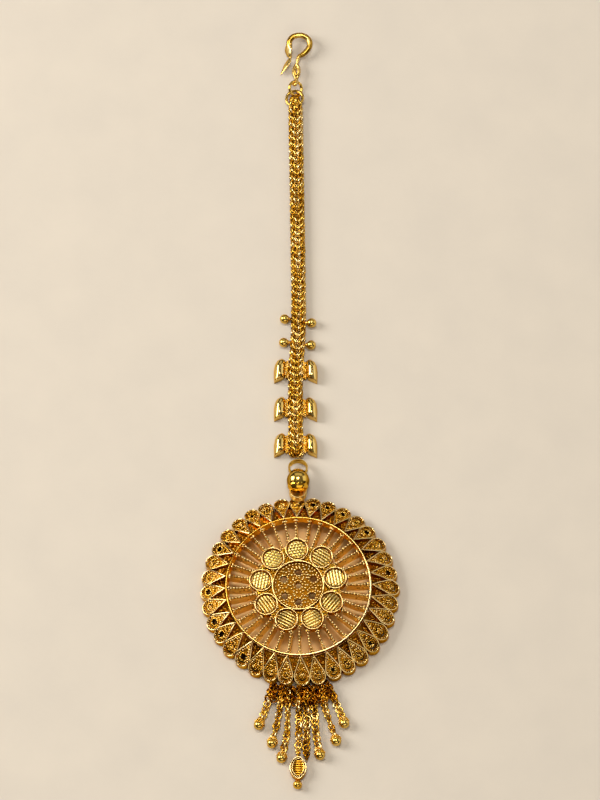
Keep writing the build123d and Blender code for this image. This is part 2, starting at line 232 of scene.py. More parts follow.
def sweep(geo, path, ra, rb, nv=12, closed=False, up=(0, 0, 1), tone=0.5, twist=0.0):
    """Elliptical section swept along a path: ra sideways, rb along up; arrays or numbers."""
    p = np.asarray(path, float)
    n = len(p)
    if closed:
        t = unit(np.roll(p, -1, 0) - np.roll(p, 1, 0))
    else:
        t = unit(np.gradient(p, axis=0))
    up = np.broadcast_to(np.asarray(up, float), (n, 3))
    side = unit(np.cross(t, up))
    nrm = unit(np.cross(side, t))
    ra = np.broadcast_to(np.asarray(ra, float), (n,))[:, None, None]
    rb = np.broadcast_to(np.asarray(rb, float), (n,))[:, None, None]
    tw = np.broadcast_to(np.asarray(twist, float), (n,))
    w = np.arange(nv) * 2 * math.pi / nv
    ct, st = np.cos(tw)[:, None, None], np.sin(tw)[:, None, None]
    s2 = side[:, None] * ct + nrm[:, None] * st
    n2 = nrm[:, None] * ct - side[:, None] * st
    v = p[:, None] + s2 * ra * np.cos(w)[None, :, None] + n2 * rb * np.sin(w)[None, :, None]
    m = n if closed else n - 1
    i, j = np.meshgrid(np.arange(m), np.arange(nv), indexing="ij")
    i2, j2 = (i + 1) % n, (j + 1) % nv
    q = np.stack([i * nv + j, i2 * nv + j, i2 * nv + j2, i * nv + j2], -1).reshape(-1, 4)
    verts = v.reshape(-1, 3)
    tri = []
    if not closed:
        verts = np.vstack([verts, p[0], p[-1]])
        a, b = n * nv, n * nv + 1
        for k in range(nv):
            tri.append((a, (k + 1) % nv, k))
            tri.append((b, (n - 1) * nv + k, (n - 1) * nv + (k + 1) % nv))
    geo.add(verts, quads=q, tris=tri, tone=tone)


def strip(geo, path, w, zt, zb, closed=True, bevel=0.09, tone=0.5, painted_side_light=None, foot_path=None):
    """A standing strip with a softly rounded top edge, along a plan path."""
    p = np.asarray(path, float)
    n = len(p)
    zt = np.broadcast_to(np.asarray(zt, float), (n,))
    zb = np.broadcast_to(np.asarray(zb, float), (n,))
    if closed:
        a, b = unit(p - np.roll(p, 1, 0)), unit(np.roll(p, -1, 0) - p)
    else:
        d = unit(np.diff(p, axis=0))
        a, b = np.vstack([d[:1], d]), np.vstack([d, d[-1:]])
    na, nb = np.stack([-a[:, 1], a[:, 0]], -1), np.stack([-b[:, 1], b[:, 0]], -1)
    nrm = unit(na + nb)
    nrm = nrm * (1 / np.clip((nrm * na).sum(-1, keepdims=True), 0.55, 1))
    h = 1.0
    half = np.broadcast_to(np.asarray(w, float) / 2, (n,))[:, None]
    prof = [(-h, 0, 0), (-h, 1, -bevel - 0.07), (-h, 1, -bevel)] + \
           [(-h * math.cos(t), 1, -bevel + bevel * math.sin(t)) for t in (0.52, 1.05, math.pi / 2, 2.09, 2.62)] + \
           [(h, 1, -bevel), (h, 1, -bevel - 0.07), (h, 0, 0)]
    k = len(prof)
    v = np.zeros((n, k, 3))
    for j, (o, top, dz) in enumerate(prof):
        v[:, j, :2] = (p if top or foot_path is None else foot_path) + nrm * half * o
        v[:, j, 2] = (zt if top else zb) + dz
    # painted light and shade: the side faces get a tone of their own, set apart from the top
    if painted_side_light is not None:
        tone_ = np.repeat(np.broadcast_to(np.asarray(tone, float), (n,))[:, None], k, 1)
        tone_[:, [0, 1, k - 2, k - 1]] = painted_side_light
        tone = tone_.reshape(-1)
    m = n if closed else n - 1
    i, j = np.meshgrid(np.arange(m), np.arange(k), indexing="ij")
    i2, j2 = (i + 1) % n, (j + 1) % k
    q = np.stack([i * k + j, i2 * k + j, i2 * k + j2, i * k + j2], -1).reshape(-1, 4)
    tri = []
    if not closed:
        for c in range(1, k - 1):
            tri.append((0, c + 1, c))
            tri.append(((n - 1) * k, (n - 1) * k + c, (n - 1) * k + c + 1))
    geo.add(v.reshape(-1, 3), quads=q, tris=tri, tone=tone)


def lathe(geo, prof, origin, axis=(0, 0, 1), nseg=24, tone=0.5, closed_prof=False, side=(1, 0, 0)):
    """Revolves (radius, height) pairs about an axis. Open profiles that end on the axis close there."""
    prof = np.asarray(prof, float)
    ez = unit(axis)
    if np.linalg.norm(np.cross(ez, side)) < 0.1:
        side = (0, 1, 0)
    ex = unit(np.cross(np.cross(ez, side), ez))
    ey = np.cross(ez, ex)
    u = np.arange(nseg) * 2 * math.pi / nseg
    ring = np.cos(u)[:, None] * ex + np.sin(u)[:, None] * ey
    k = len(prof)
    v = ring[:, None] * np.maximum(prof[None, :, :1], 1e-4) + ez * prof[None, :, 1:2] + np.asarray(origin, float)
    m = k if closed_prof else k - 1
    i, j = np.meshgrid(np.arange(nseg), np.arange(m), indexing="ij")
    i2, j2 = (i + 1) % nseg, (j + 1) % k
    q = np.stack([i * k + j, i2 * k + j, i2 * k + j2, i * k + j2], -1).reshape(-1, 4)
    geo.add(v.reshape(-1, 3), quads=q, tone=tone)


def links(geo, pos, tan, major, minor, nu=22, nv=9, start=1, wobble=5.0, stretch=0.0, yaw=0.0, loose=None, tone=(0.3, 0.7), twin=0.0, painted_left_shade=0.0):
    """Round links, each turned a quarter about the strand from the last."""
    v, q = torus_template(major, minor, nu, nv, stretch)
    up = np.array([0, 0, 1.0])
    for k, (p, t) in enumerate(zip(pos, tan)):
        s = unit(np.cross(t, up))
        t = unit(t * math.cos(math.radians(yaw)) + s * math.sin(math.radians(yaw)))
        s = unit(np.cross(t, up))
        n = np.cross(s, t)
        if loose is None:
            a = math.radians((45 if (k + start) % 2 else -45) + RNG.uniform(-wobble, wobble))
        else:
            a = math.radians(loose + (90 if (k + start) % 2 else 0) + RNG.uniform(-wobble, wobble))
        ez = s * math.cos(a) + n * math.sin(a)
        ex = np.cross(t, ez)
        tilt = math.radians(RNG.uniform(-wobble, wobble))
        ey = unit(t * math.cos(tilt) + ex * math.sin(tilt))
        ex = unit(np.cross(ey, ez))
        for off in ((-twin, twin) if twin else (0.0,)):
            splay = off * 0.45
            ez2 = unit(ez + ex * splay)
            lv = place(v, p + ez * off, np.cross(ey, ez2), ey, ez2)
            # painted shade: on alternate links the left edge is painted darker
            left = 0.5 - 0.5 * np.tanh((lv[:, 0] - p[0] + 0.30) / 0.15)
            geo.add(lv, quads=q, tone=np.clip(RNG.uniform(*tone) - painted_left_shade * left * ((k + start) % 2), 0, 1))


def dome(r):
    return np.interp(r, DOME_R, DOME_Z)


def foot(r):
    return np.interp(r, FOOT_R, FOOT_Z)


def around(r, deg, t=0.0):
    """Plan point at radius r and angle deg clockwise from +Y, moved t along the tangent."""
    a = np.radians(deg)
    return np.stack([MED_X + r * np.sin(a) + t * np.cos(a), MED_Y + r * np.cos(a) - t * np.sin(a)], -1)


def radius_of(xy):
    xy = np.asarray(xy, float)
    return np.hypot(xy[..., 0] - MED_X, xy[..., 1] - MED_Y)


# ---------------------------------------------------------------- materials


def nodes_of(mat):
    mat.use_nodes = True
    nt = mat.node_tree
    for n in list(nt.nodes):
        nt.nodes.remove(n)
    out = nt.nodes.new("ShaderNodeOutputMaterial")
    bsdf = nt.nodes.new("ShaderNodeBsdfPrincipled")
    nt.links.new(bsdf.outputs[0], out.inputs[0])
    return nt, bsdf


def gold(name, deep, mid, light, rough=(0.14, 0.24), grain=900.0, bump=0.06, pit=2600.0, fleck=0.0):
    """Worn gold plate: colour drifts with noise and with each piece's tone, which also carries painted light and shade;
    finish is faintly uneven.
    """
    mat = bpy.data.materials.new(name)
    nt, bsdf = nodes_of(mat)
    N, L = nt.nodes.new, nt.links.new
    co = N("ShaderNodeTexCoord")
    n1 = N("ShaderNodeTexNoise"); n1.inputs["Scale"].default_value = grain
    n1.inputs["Detail"].default_value = 4.0
    n2 = N("ShaderNodeTexNoise"); n2.inputs["Scale"].default_value = pit
    n2.inputs["Detail"].default_value = 3.0
    L(co.outputs["Object"], n1.inputs["Vector"])
    L(co.outputs["Object"], n2.inputs["Vector"])
    at = N("ShaderNodeAttribute"); at.attribute_name = "tone"
    sc = N("ShaderNodeMath"); sc.operation = "MULTIPLY"; sc.inputs[1].default_value = 0.80
    L(at.outputs["Fac"], sc.inputs[0])
    mix = N("ShaderNodeMath"); mix.operation = "MULTIPLY_ADD"
    mix.inputs[1].default_value = 0.40
    L(n1.outputs["Fac"], mix.inputs[0])
    L(sc.outputs[0], mix.inputs[2])
    ramp = N("ShaderNodeValToRGB")
    e = ramp.color_ramp.elements
    e[0].position, e[0].color = 0.14, (deep[0] * 0.22, deep[1] * 0.18, deep[2] * 0.15, 1)
    e[1].position, e[1].color = 1.0, (*light, 1)
    m = e.new(0.38); m.color = (*deep, 1)
    m = e.new(0.66); m.color = (*mid, 1)
    L(mix.outputs[0], ramp.inputs["Fac"])
    L(ramp.outputs["Color"], bsdf.inputs["Base Color"])
    bsdf.inputs["Metallic"].default_value = 1.0
    bsdf.inputs["Specular Tint"].default_value = (1.0, 0.74, 0.38, 1)
    mr = N("ShaderNodeMapRange")
    mr.inputs["From Min"].default_value, mr.inputs["From Max"].default_value = 0.3, 0.7
    mr.inputs["To Min"].default_value, mr.inputs["To Max"].default_value = rough
    L(n1.outputs["Fac"], mr.inputs["Value"])
    L(mr.outputs["Result"], bsdf.inputs["Roughness"])
    bp = N("ShaderNodeBump")
    bp.inputs["Strength"].default_value = bump
    bp.inputs["Distance"].default_value = 0.00008
    L(n2.outputs["Fac"], bp.inputs["Height"])
    L(bp.outputs["Normal"], bsdf.inputs["Normal"])
    return mat


G_WIRE = gold("gold_wire_plain", (0.48, 0.26, 0.030), (0.70, 0.46, 0.100), (0.86, 0.66, 0.30), (0.14, 0.24), 700, 0.05, 1800)
G_POL = gold("gold_mirror", (0.46, 0.24, 0.018), (0.72, 0.48, 0.100), (0.88, 0.68, 0.33), (0.07, 0.13), 500, 0.02, 1400)
G_CHAIN = gold("gold_links", (0.42, 0.195, 0.007), (0.82, 0.53, 0.090), (0.95, 0.78, 0.42), (0.15, 0.24), 1500, 0.08, 3000)
G_FIL = gold("gold_granules", (0.46, 0.18, 0.004), (0.80, 0.46, 0.046), (0.96, 0.72, 0.31), (0.12, 0.21), 1800, 0.12, 4200)
G_DISC = gold("gold_ridged", (0.40, 0.21, 0.012), (0.63, 0.42, 0.065), (0.82, 0.62, 0.23), (0.20, 0.32), 1500, 0.10, 3600)
G_WALL = gold("gold_strip", (0.48, 0.20, 0.007), (0.80, 0.50, 0.075), (0.91, 0.70, 0.34), (0.12, 0.20), 900, 0.06, 2600)
# dark plate gold: painted shade for plates set between walls, beads and ridges
G_PLATE_SHADE = gold("gold_base_plate_painted_shade", (0.30, 0.115, 0.004), (0.54, 0.24, 0.014), (0.78, 0.42, 0.050), (0.32, 0.48), 2200, 0.40, 5200)
G_SPOKE = gold("gold_spoke_side", (0.44, 0.22, 0.020), (0.92, 0.62, 0.16), (1.0, 0.80, 0.30), (0.34, 0.50), 1500, 0.30, 3800)
# dark saturated orange gold: painted shade with painted bounce light in the deep gaps
G_GAP_SHADE = gold("gold_gap_leaf_painted_shade", (0.30, 0.105, 0.003), (0.66, 0.29, 0.016), (0.94, 0.56, 0.09), (0.22, 0.36), 1500, 0.30, 3800)
G_DOT = gold("gold_dots", (0.58, 0.30, 0.04), (0.90, 0.60, 0.17), (1.0, 0.80, 0.38), (0.16, 0.26), 1500, 0.06, 3800)
G_BALL = gold("gold_ball", (0.50, 0.27, 0.025), (0.74, 0.50, 0.115), (0.90, 0.72, 0.36), (0.13, 0.19), 500, 0.03, 1400)
G_HOOK = gold("gold_hook", (0.52, 0.30, 0.040), (0.80, 0.55, 0.17), (0.95, 0.76, 0.40), (0.24, 0.34), 700, 0.06, 1800)
# dark reddish gold: painted shade for the jump rings under the rim
G_CROWD_SHADE = gold("gold_crowd_painted_shade", (0.30, 0.10, 0.004), (0.66, 0.33, 0.022), (0.94, 0.66, 0.22), (0.13, 0.24), 1500, 0.10, 3200)
G_SATIN = gold("gold_satin", (0.50, 0.30, 0.040), (0.80, 0.58, 0.18), (0.97, 0.82, 0.45), (0.30, 0.42), 900, 0.10, 2600)
# near-black gold: painted shade in the collet holes
G_PIT_SHADE = gold("gold_pit_painted_shade", (0.02, 0.009, 0.002), (0.07, 0.027, 0.004), (0.24, 0.09, 0.010), (0.30, 0.50), 1800, 0.2, 4200)

# ---------------------------------------------------------------- camera and light
ELEV = math.radians(71.0)
TARGET = Vector((0.24, 2.34, 0.0)) * MM
to_cam = Vector((0, -math.cos(ELEV), math.sin(ELEV)))
cam_data = bpy.data.cameras.new("camera")
cam_data.type = "PERSP"
cam_data.lens = 1000.0
cam_data.sensor_width = 36.0
cam_data.clip_start, cam_data.clip_end = 0.05, 20.0
cam_data.dof.use_dof = False
cam = bpy.data.objects.new("camera", cam_data)
bpy.context.scene.collection.objects.link(cam)
cam.location = TARGET + to_cam * (160.0 / 36.0 * 1000.0 * MM)
cam.rotation_euler = (TARGET - cam.location).to_track_quat("-Z", "Y").to_euler()
bpy.context.scene.camera = cam


def lamp(name, direction, dist, size, radiance, colour=(1, 1, 1), shape="DISK", size_y=None):
    data = bpy.data.lights.new(name, "AREA")
    data.shape = shape
    data.size = size
    area = math.pi * size * size / 4
    if shape == "RECTANGLE":
        data.size_y = size_y
        area = size * size_y
    data.energy = radiance * area * math.pi
    data.color = colour
    ob = bpy.data.objects.new(name, data)
    bpy.context.scene.collection.objects.link(ob)
    d = Vector(direction).normalized()
    ob.location = Vector((0, 0, 0)) + d * dist
    ob.rotation_euler = (-d).to_track_quat("-Z", "Y").to_euler()
    return ob


lamp("key_softbox", (-0.80, 0.19, 0.53), 0.85, 0.46, 10.0, (1.0, 0.97, 0.92), "RECTANGLE", 0.44)
lamp("top_softbox", (-0.02, 0.13, 0.99), 1.1, 0.38, 13.0, (1.0, 0.97, 0.93))
lamp("front_card", (0.20, -0.78, 0.58), 1.0, 1.00, 1.45, (1.0, 0.90, 0.72), "RECTANGLE", 0.45)
lamp("back_card", (0.05, 0.80, 0.60), 1.0, 1.20, 0.60, (1.0, 0.93, 0.80), "RECTANGLE", 0.60)
lamp("right_card", (0.88, 0.24, 0.34), 1.0, 0.80, 1.0, (1.0, 0.96, 0.90), "RECTANGLE", 0.75)

world = bpy.data.worlds.new("studio")
bpy.context.scene.world = world
world.use_nodes = True
wn = world.node_tree
for n in list(wn.nodes):
    wn.nodes.remove(n)
wo = wn.nodes.new("ShaderNodeOutputWorld")
wb = wn.nodes.new("ShaderNodeBackground")
wb.inputs["Strength"].default_value = 1.0
wc = wn.nodes.new("ShaderNodeTexCoord")
ws = wn.nodes.new("ShaderNodeSeparateXYZ")
wr = wn.nodes.new("ShaderNodeValToRGB")
wr.color_ramp.elements[0].position, wr.color_ramp.elements[0].color = 0.0, (0.036, 0.024, 0.011, 1)
wr.color_ramp.elements[1].position, wr.color_ramp.elements[1].color = 1.0, (0.200, 0.182, 0.146, 1)
wm = wr.color_ramp.elements.new(0.55); wm.color = (0.090, 0.074, 0.051, 1)
wn.links.new(wc.outputs["Generated"], ws.inputs[0])
wn.links.new(ws.outputs["Z"], wr.inputs["Fac"])
wn.links.new(wr.outputs["Color"], wb.inputs["Color"])
# the metal mirrors a dim room; the wall seen behind the floor in low views is pale
wp = wn.nodes.new("ShaderNodeBackground")
wp.inputs["Color"].default_value = (0.730, 0.638, 0.508, 1)
wl = wn.nodes.new("ShaderNodeLightPath")
wx = wn.nodes.new("ShaderNodeMixShader")
wn.links.new(wl.outputs["Is Camera Ray"], wx.inputs[0])
wn.links.new(wb.outputs[0], wx.inputs[1])
wn.links.new(wp.outputs[0], wx.inputs[2])
wn.links.new(wx.outputs[0], wo.inputs[0])
bpy.context.scene.view_settings.view_transform = "Standard"
bpy.context.scene.view_settings.look = "None"
bpy.context.scene.view_settings.exposure = 0.0
bpy.context.scene.view_settings.gamma = 1.0

# pale floor with a faint paper tooth
bm = bmesh.new()
bmesh.ops.create_grid(bm, x_segments=8, y_segments=8, size=0.42)
fme = bpy.data.meshes.new("floor")
bm.to_mesh(fme)
bm.free()
floor = bpy.data.objects.new("floor", fme)
bpy.context.scene.collection.objects.link(floor)
floor.location = (0, 0, -0.00005)
fmat = bpy.data.materials.new("pale_paper")
nt, bsdf = nodes_of(fmat)
co = nt.nodes.new("ShaderNodeTexCoord")
fn = nt.nodes.new("ShaderNodeTexNoise"); fn.inputs["Scale"].default_value = 90.0; fn.inputs["Detail"].default_value = 6.0
fg = nt.nodes.new("ShaderNodeTexNoise"); fg.inputs["Scale"].default_value = 1400.0; fg.inputs["Detail"].default_value = 3.0
nt.links.new(co.outputs["Object"], fn.inputs["Vector"])
nt.links.new(co.outputs["Object"], fg.inputs["Vector"])
fr = nt.nodes.new("ShaderNodeValToRGB")
fr.color_ramp.elements[0].position, fr.color_ramp.elements[0].color = 0.3, (0.655, 0.596, 0.520, 1)
fr.color_ramp.elements[1].position, fr.color_ramp.elements[1].color = 0.7, (0.688, 0.624, 0.540, 1)
nt.links.new(fn.outputs["Fac"], fr.inputs["Fac"])
# painted pool of light: the paper under the medallion is tinted warm, painted in as the light bounced off the open gold
# work
fd = nt.nodes.new("ShaderNodeVectorMath"); fd.operation = "DISTANCE"
fd.inputs[1].default_value = (MED_X * MM, MED_Y * MM, 0.0)
nt.links.new(co.outputs["Object"], fd.inputs[0])
fw = nt.nodes.new("ShaderNodeMapRange"); fw.interpolation_type = "SMOOTHSTEP"
fw.inputs["From Min"].default_value, fw.inputs["From Max"].default_value = 0.0125, 0.0185
fw.inputs["To Min"].default_value, fw.inputs["To Max"].default_value = 0.92, 0.0
nt.links.new(fd.outputs["Value"], fw.inputs["Value"])
fm = nt.nodes.new("ShaderNodeMix"); fm.data_type = "RGBA"
fm.inputs[7].default_value = (1.26, 0.81, 0.33, 1)
nt.links.new(fw.outputs["Result"], fm.inputs[0])
nt.links.new(fr.outputs["Color"], fm.inputs[6])
nt.links.new(fm.outputs[2], bsdf.inputs["Base Color"])
bsdf.inputs["Roughness"].default_value = 0.9
bsdf.inputs["Specular IOR Level"].default_value = 0.15
fb = nt.nodes.new("ShaderNodeBump"); fb.inputs["Strength"].default_value = 0.12; fb.inputs["Distance"].default_value = 0.0002
nt.links.new(fg.outputs["Fac"], fb.inputs["Height"])
nt.links.new(fb.outputs["Normal"], bsdf.inputs["Normal"])
fme.materials.append(fmat)

# ---------------------------------------------------------------- teardrops of the rim


def tear_path(end_r, tip_r, centre_r, n_arc=22, n_side=9):
    """Plan path (tangential, radial) of a drop outline, from the tip round and back."""
    d = centre_r - tip_r
    beta = math.asin(end_r / d)
    tx, ty = end_r * math.cos(beta), centre_r - end_r * math.sin(beta)
    right = [(tx * t, tip_r + (ty - tip_r) * t) for t in np.linspace(0, 1, n_side)[:-1]]
    a0, a1 = -beta, math.pi + beta
    arc = [(end_r * math.cos(a), centre_r + end_r * math.sin(a)) for a in np.linspace(a0, a1, n_arc)]
    left = [(-tx * t, tip_r + (ty - tip_r) * t) for t in np.linspace(1, 0, n_side)[1:-1]]
    return np.array(right + arc + left)


walls, granules_a, granules_b, plates, collets, pits, gaps = (Geo() for _ in range(7))
HALF = WALL / 2
beta0 = math.asin(TEAR_END / (TEAR_R - TEAR_TIP))
centre_tip = TEAR_TIP + HALF / math.sin(beta0)
for k in range(TEAR_N):
    jitter = RNG.uniform(-0.35, 0.35)
    deg = TEAR_START + k * TEAR_STEP + jitter
    dr = RNG.uniform(-0.09, 0.09)
    size = TEAR_END - HALF + RNG.uniform(-0.03, 0.02)
    lp = tear_path(size, centre_tip + RNG.uniform(-0.05, 0.08), TEAR_R + dr)

    def world_of(tr, deg=deg):
        tr = np.asarray(tr, float)
        return around(tr[..., 1], deg, tr[..., 0])

    xy = world_of(lp)
    r = radius_of(xy)
    lift = RNG.uniform(-0.05, 0.07)
    # painted light: grains on the lower part of the rim are painted lighter
    painted_light_bottom = 0.5 - 0.5 * math.cos(math.radians(deg))        # 1 at the foot of the medallion
    # painted shade: the wall tops are light and their sides are painted darker
    strip(walls, xy, 0.24, dome(r) + lift, foot(r), True, 0.10, tone=RNG.uniform(0.8, 1.0), painted_side_light=RNG.uniform(0.18, 0.42))

    # collet in the round end: a wire ring and grains round a pit painted dark as shade
    cr = TEAR_R + dr - 0.05
    ring_out = 0.94 + RNG.uniform(-0.06, 0.04)
    ring_in = RNG.choice([0.34, 0.44, 0.54, 0.60]) + RNG.uniform(-0.04, 0.04)
    c2 = world_of((RNG.uniform(-0.08, 0.08), cr + RNG.uniform(-0.05, 0.05)))
    rc = radius_of(c2)
    slope = math.atan2(1.25 - 2.75, 20.1 - 18.2) * 0.85
    a = math.radians(deg)
    out3 = np.array([math.sin(a), math.cos(a), 0.0])
    axis = unit(np.array([0, 0, 1.0]) * math.cos(slope) - out3 * math.sin(slope))
    ex3 = unit(np.cross(axis, np.array([math.cos(a + 1.57), -math.sin(a + 1.57), 0.0]) + 1e-6))
    ey3 = np.cross(axis, ex3)
    base = np.array([c2[0], c2[1], dome(rc) - 0.14 + lift])
    plain = RNG.random() < 0.5
    down = 0.16 if plain else 0.02
    lathe(collets, [(ring_out - 0.22, -0.85), (ring_out - 0.22, -0.20 - down), (ring_out - 0.19, -0.08 - down),
                    (ring_out - 0.11, -down), (ring_out - 0.03, -0.08 - down), (ring_out, -0.22 - down),
                    (ring_out, -0.85)], base, axis, 22, tone=RNG.uniform(0.25, 0.6), closed_prof=True)
    lathe(pits, [(0.0, -0.62), (ring_in * 0.7, -0.60), (ring_in + 0.30, -0.52), (ring_in + 0.30, -0.8), (0.0, -0.8)],
          base, axis, 18, tone=RNG.uniform(0.7, 1.0) if plain else RNG.uniform(0.0, 0.4))
    g = granules_a if k % 2 else granules_b
    nb = 7
    tb = np.arange(nb) * 2 * math.pi / nb + RNG.uniform(0, 1)
    rb_ = max(ring_in + 0.10, 0.42) * np.ones(nb) + RNG.uniform(-.05, .05, nb)
    pb = base + ex3 * (rb_ * np.cos(tb))[:, None] + ey3 * (rb_ * np.sin(tb))[:, None] - axis * 0.16
    beads(g, pb, RNG.uniform(.15, .21, nb), tone=RNG.uniform(.3, 1, nb), squash=0.7, lean=out3 * 0.5)
    nb = 11 if plain else 7
    tb = RNG.uniform(0, 6.28, nb)
    rb_ = RNG.uniform(0.0 if plain else 0.62, 0.80, nb)
    pb = base + ex3 * (rb_ * np.cos(tb))[:, None] + ey3 * (rb_ * np.sin(tb))[:, None] - axis * 0.10
    beads(g, pb, RNG.uniform(.14, .20, nb), tone=RNG.uniform(.2, 1, nb), squash=0.75, lean=out3 * 0.5)

    # floor plate between the collet and the wall, painted dark as shade under the walls
    cen = np.array([0.0, cr])
    inner = cen + unit(lp - cen) * (ring_out - 0.10)
    xo, xi = world_of(lp), world_of(inner)
    n = len(lp)
    zo, zi = dome(radius_of(xo)) - 0.55, dome(radius_of(xi)) - 0.50
    ring_v = np.concatenate([np.c_[xo, zo], np.c_[xi, zi], np.c_[xi, zi - 0.18], np.c_[xo, zo - 0.18]])
    i = np.arange(n); i2 = (i + 1) % n
    qs = [np.stack([i + n * c, i + n * ((c + 1) % 4), i2 + n * ((c + 1) % 4), i2 + n * c], -1) for c in range(4)]
    plates.add(ring_v, quads=np.concatenate(qs), tone=RNG.uniform(0.2, 0.5))

    # grains in rows along both sides
    d_side = unit(np.array([math.sin(beta0), math.cos(beta0)]))
    n_side = np.array([-math.cos(beta0), math.sin(beta0)])
    rows = []
    # grain tone: random, with painted light added towards the foot of the medallion
    shade = RNG.uniform(0.40, 0.68) + 0.22 * painted_light_bottom
    for off, rad, drop in ((0.36, 0.20, 0.27), (0.80, 0.22, 0.20)):
        for s in (1, -1):
            for q in np.arange(0.35 + 0.2 * (off > .5), 4.2, 0.42):
                p = np.array([0, centre_tip]) + d_side * q + n_side * off
                if p[0] < 0.10 and off > 0.5:
                    continue
                if p[0] < 0.03:
                    continue
                if np.hypot(p[0], p[1] - cr) < ring_out + 0.12:
                    continue
                if p[1] > cr + 0.2:
                    continue
                rows.append((s * p[0] + RNG.uniform(-.03, .03), p[1] + RNG.uniform(-.03, .03), rad, drop))
    for q in np.arange(0.50, 1.9, 0.36):
        rows.append((RNG.uniform(-.04, .04), centre_tip + q, 0.15 + 0.03 * q, 0.20))
    for th in np.arange(-0.3, math.pi + 0.31, 0.37):
        q = (size - HALF - 0.15)
        rows.append((q * math.cos(th), TEAR_R + dr + q * math.sin(th), 0.15, 0.34))
    rows = np.array(rows)
    w2 = world_of(rows[:, :2])
    z = dome(radius_of(w2)) - rows[:, 3] + RNG.uniform(-.04, .04, len(rows)) + lift
    beads(g, np.c_[w2, z], rows[:, 2] * RNG.uniform(.88, 1.08, len(rows)),
          tone=np.clip(shade + RNG.uniform(-.35, .35, len(rows)), 0, 1), squash=0.6, tilt=20, lean=out3 * 0.45)

    # web plate in the gap beside this drop, open next to the ring; its dark, saturated orange is painted shade with
    # painted bounce light
    gd = deg + TEAR_STEP / 2 - jitter
    gp = np.array([around(14.35, gd, t) for t in (1.15, 0.0, -1.15)] + [around(17.1, gd, t) for t in (-0.25, 0.0, 0.25)])
    gz = np.array([3.15, 3.15, 3.15, 2.35, 2.35, 2.35])
    gaps.add(np.concatenate([np.c_[gp, gz], np.c_[gp, gz - 0.15]]),
             quads=[(0, 1, 4, 5), (1, 2, 3, 4), (11, 10, 7, 6), (10, 9, 8, 7),
                    (0, 6, 7, 1), (1, 7, 8, 2), (2, 8, 9, 3), (3, 9, 10, 4), (4, 10, 11, 5), (5, 11, 6, 0)],
             tone=RNG.uniform(0.0, 0.45))
    nb = 15
    fr_ = RNG.uniform(0.08, 0.80, nb)
    pb = around(14.75 + fr_ * 2.1, gd, RNG.uniform(-1, 1, nb) * 0.85 * (1 - fr_))
    beads(gaps, np.c_[pb, 3.55 - 0.8 * fr_ + RNG.uniform(0, .35, nb)], RNG.uniform(.13, .21, nb),
          tone=RNG.uniform(.1, 1.0, nb), squash=0.8)

build("rim_walls", walls, G_WALL, ("medallion",), 50)
build("rim_granules_a", granules_a, G_FIL, ("medallion",))
build("rim_granules_b", granules_b, G_FIL, ("medallion",))
build("rim_plates", plates, G_PLATE_SHADE, ("medallion",), 40)
build("rim_collets", collets, G_WALL, ("medallion",))
build("rim_gap_leaves", gaps, G_GAP_SHADE, ("medallion",), 40)
build("rim_pits", pits, G_PIT_SHADE, ("medallion",), 40)

# ---------------------------------------------------------------- inner ring, spokes, petals, centre
ring = Geo()
th = np.linspace(0, 360, 181)[:-1]
circle = around(RING_R + 0.0 * th, th)
# bright peaks at the lower right: the strip is wider there and painted lighter, a painted highlight; its sides carry
# painted light of their own
bright = 0.5 + 0.5 * np.cos(np.radians(th - 128))      # plate is brightest at the lower right
strip(ring, circle, RING_W * (0.70 + 0.42 * bright), dome(RING_R) + 0.03, 3.1, True, 0.10,
      tone=0.45 + 0.55 * bright + RNG.uniform(-.12, .12, len(th)), painted_side_light=0.45,
      foot_path=around(RING_R - 0.28 + 0.0 * th, th))
build("inner_ring", ring, G_WALL, ("medallion",), 50)

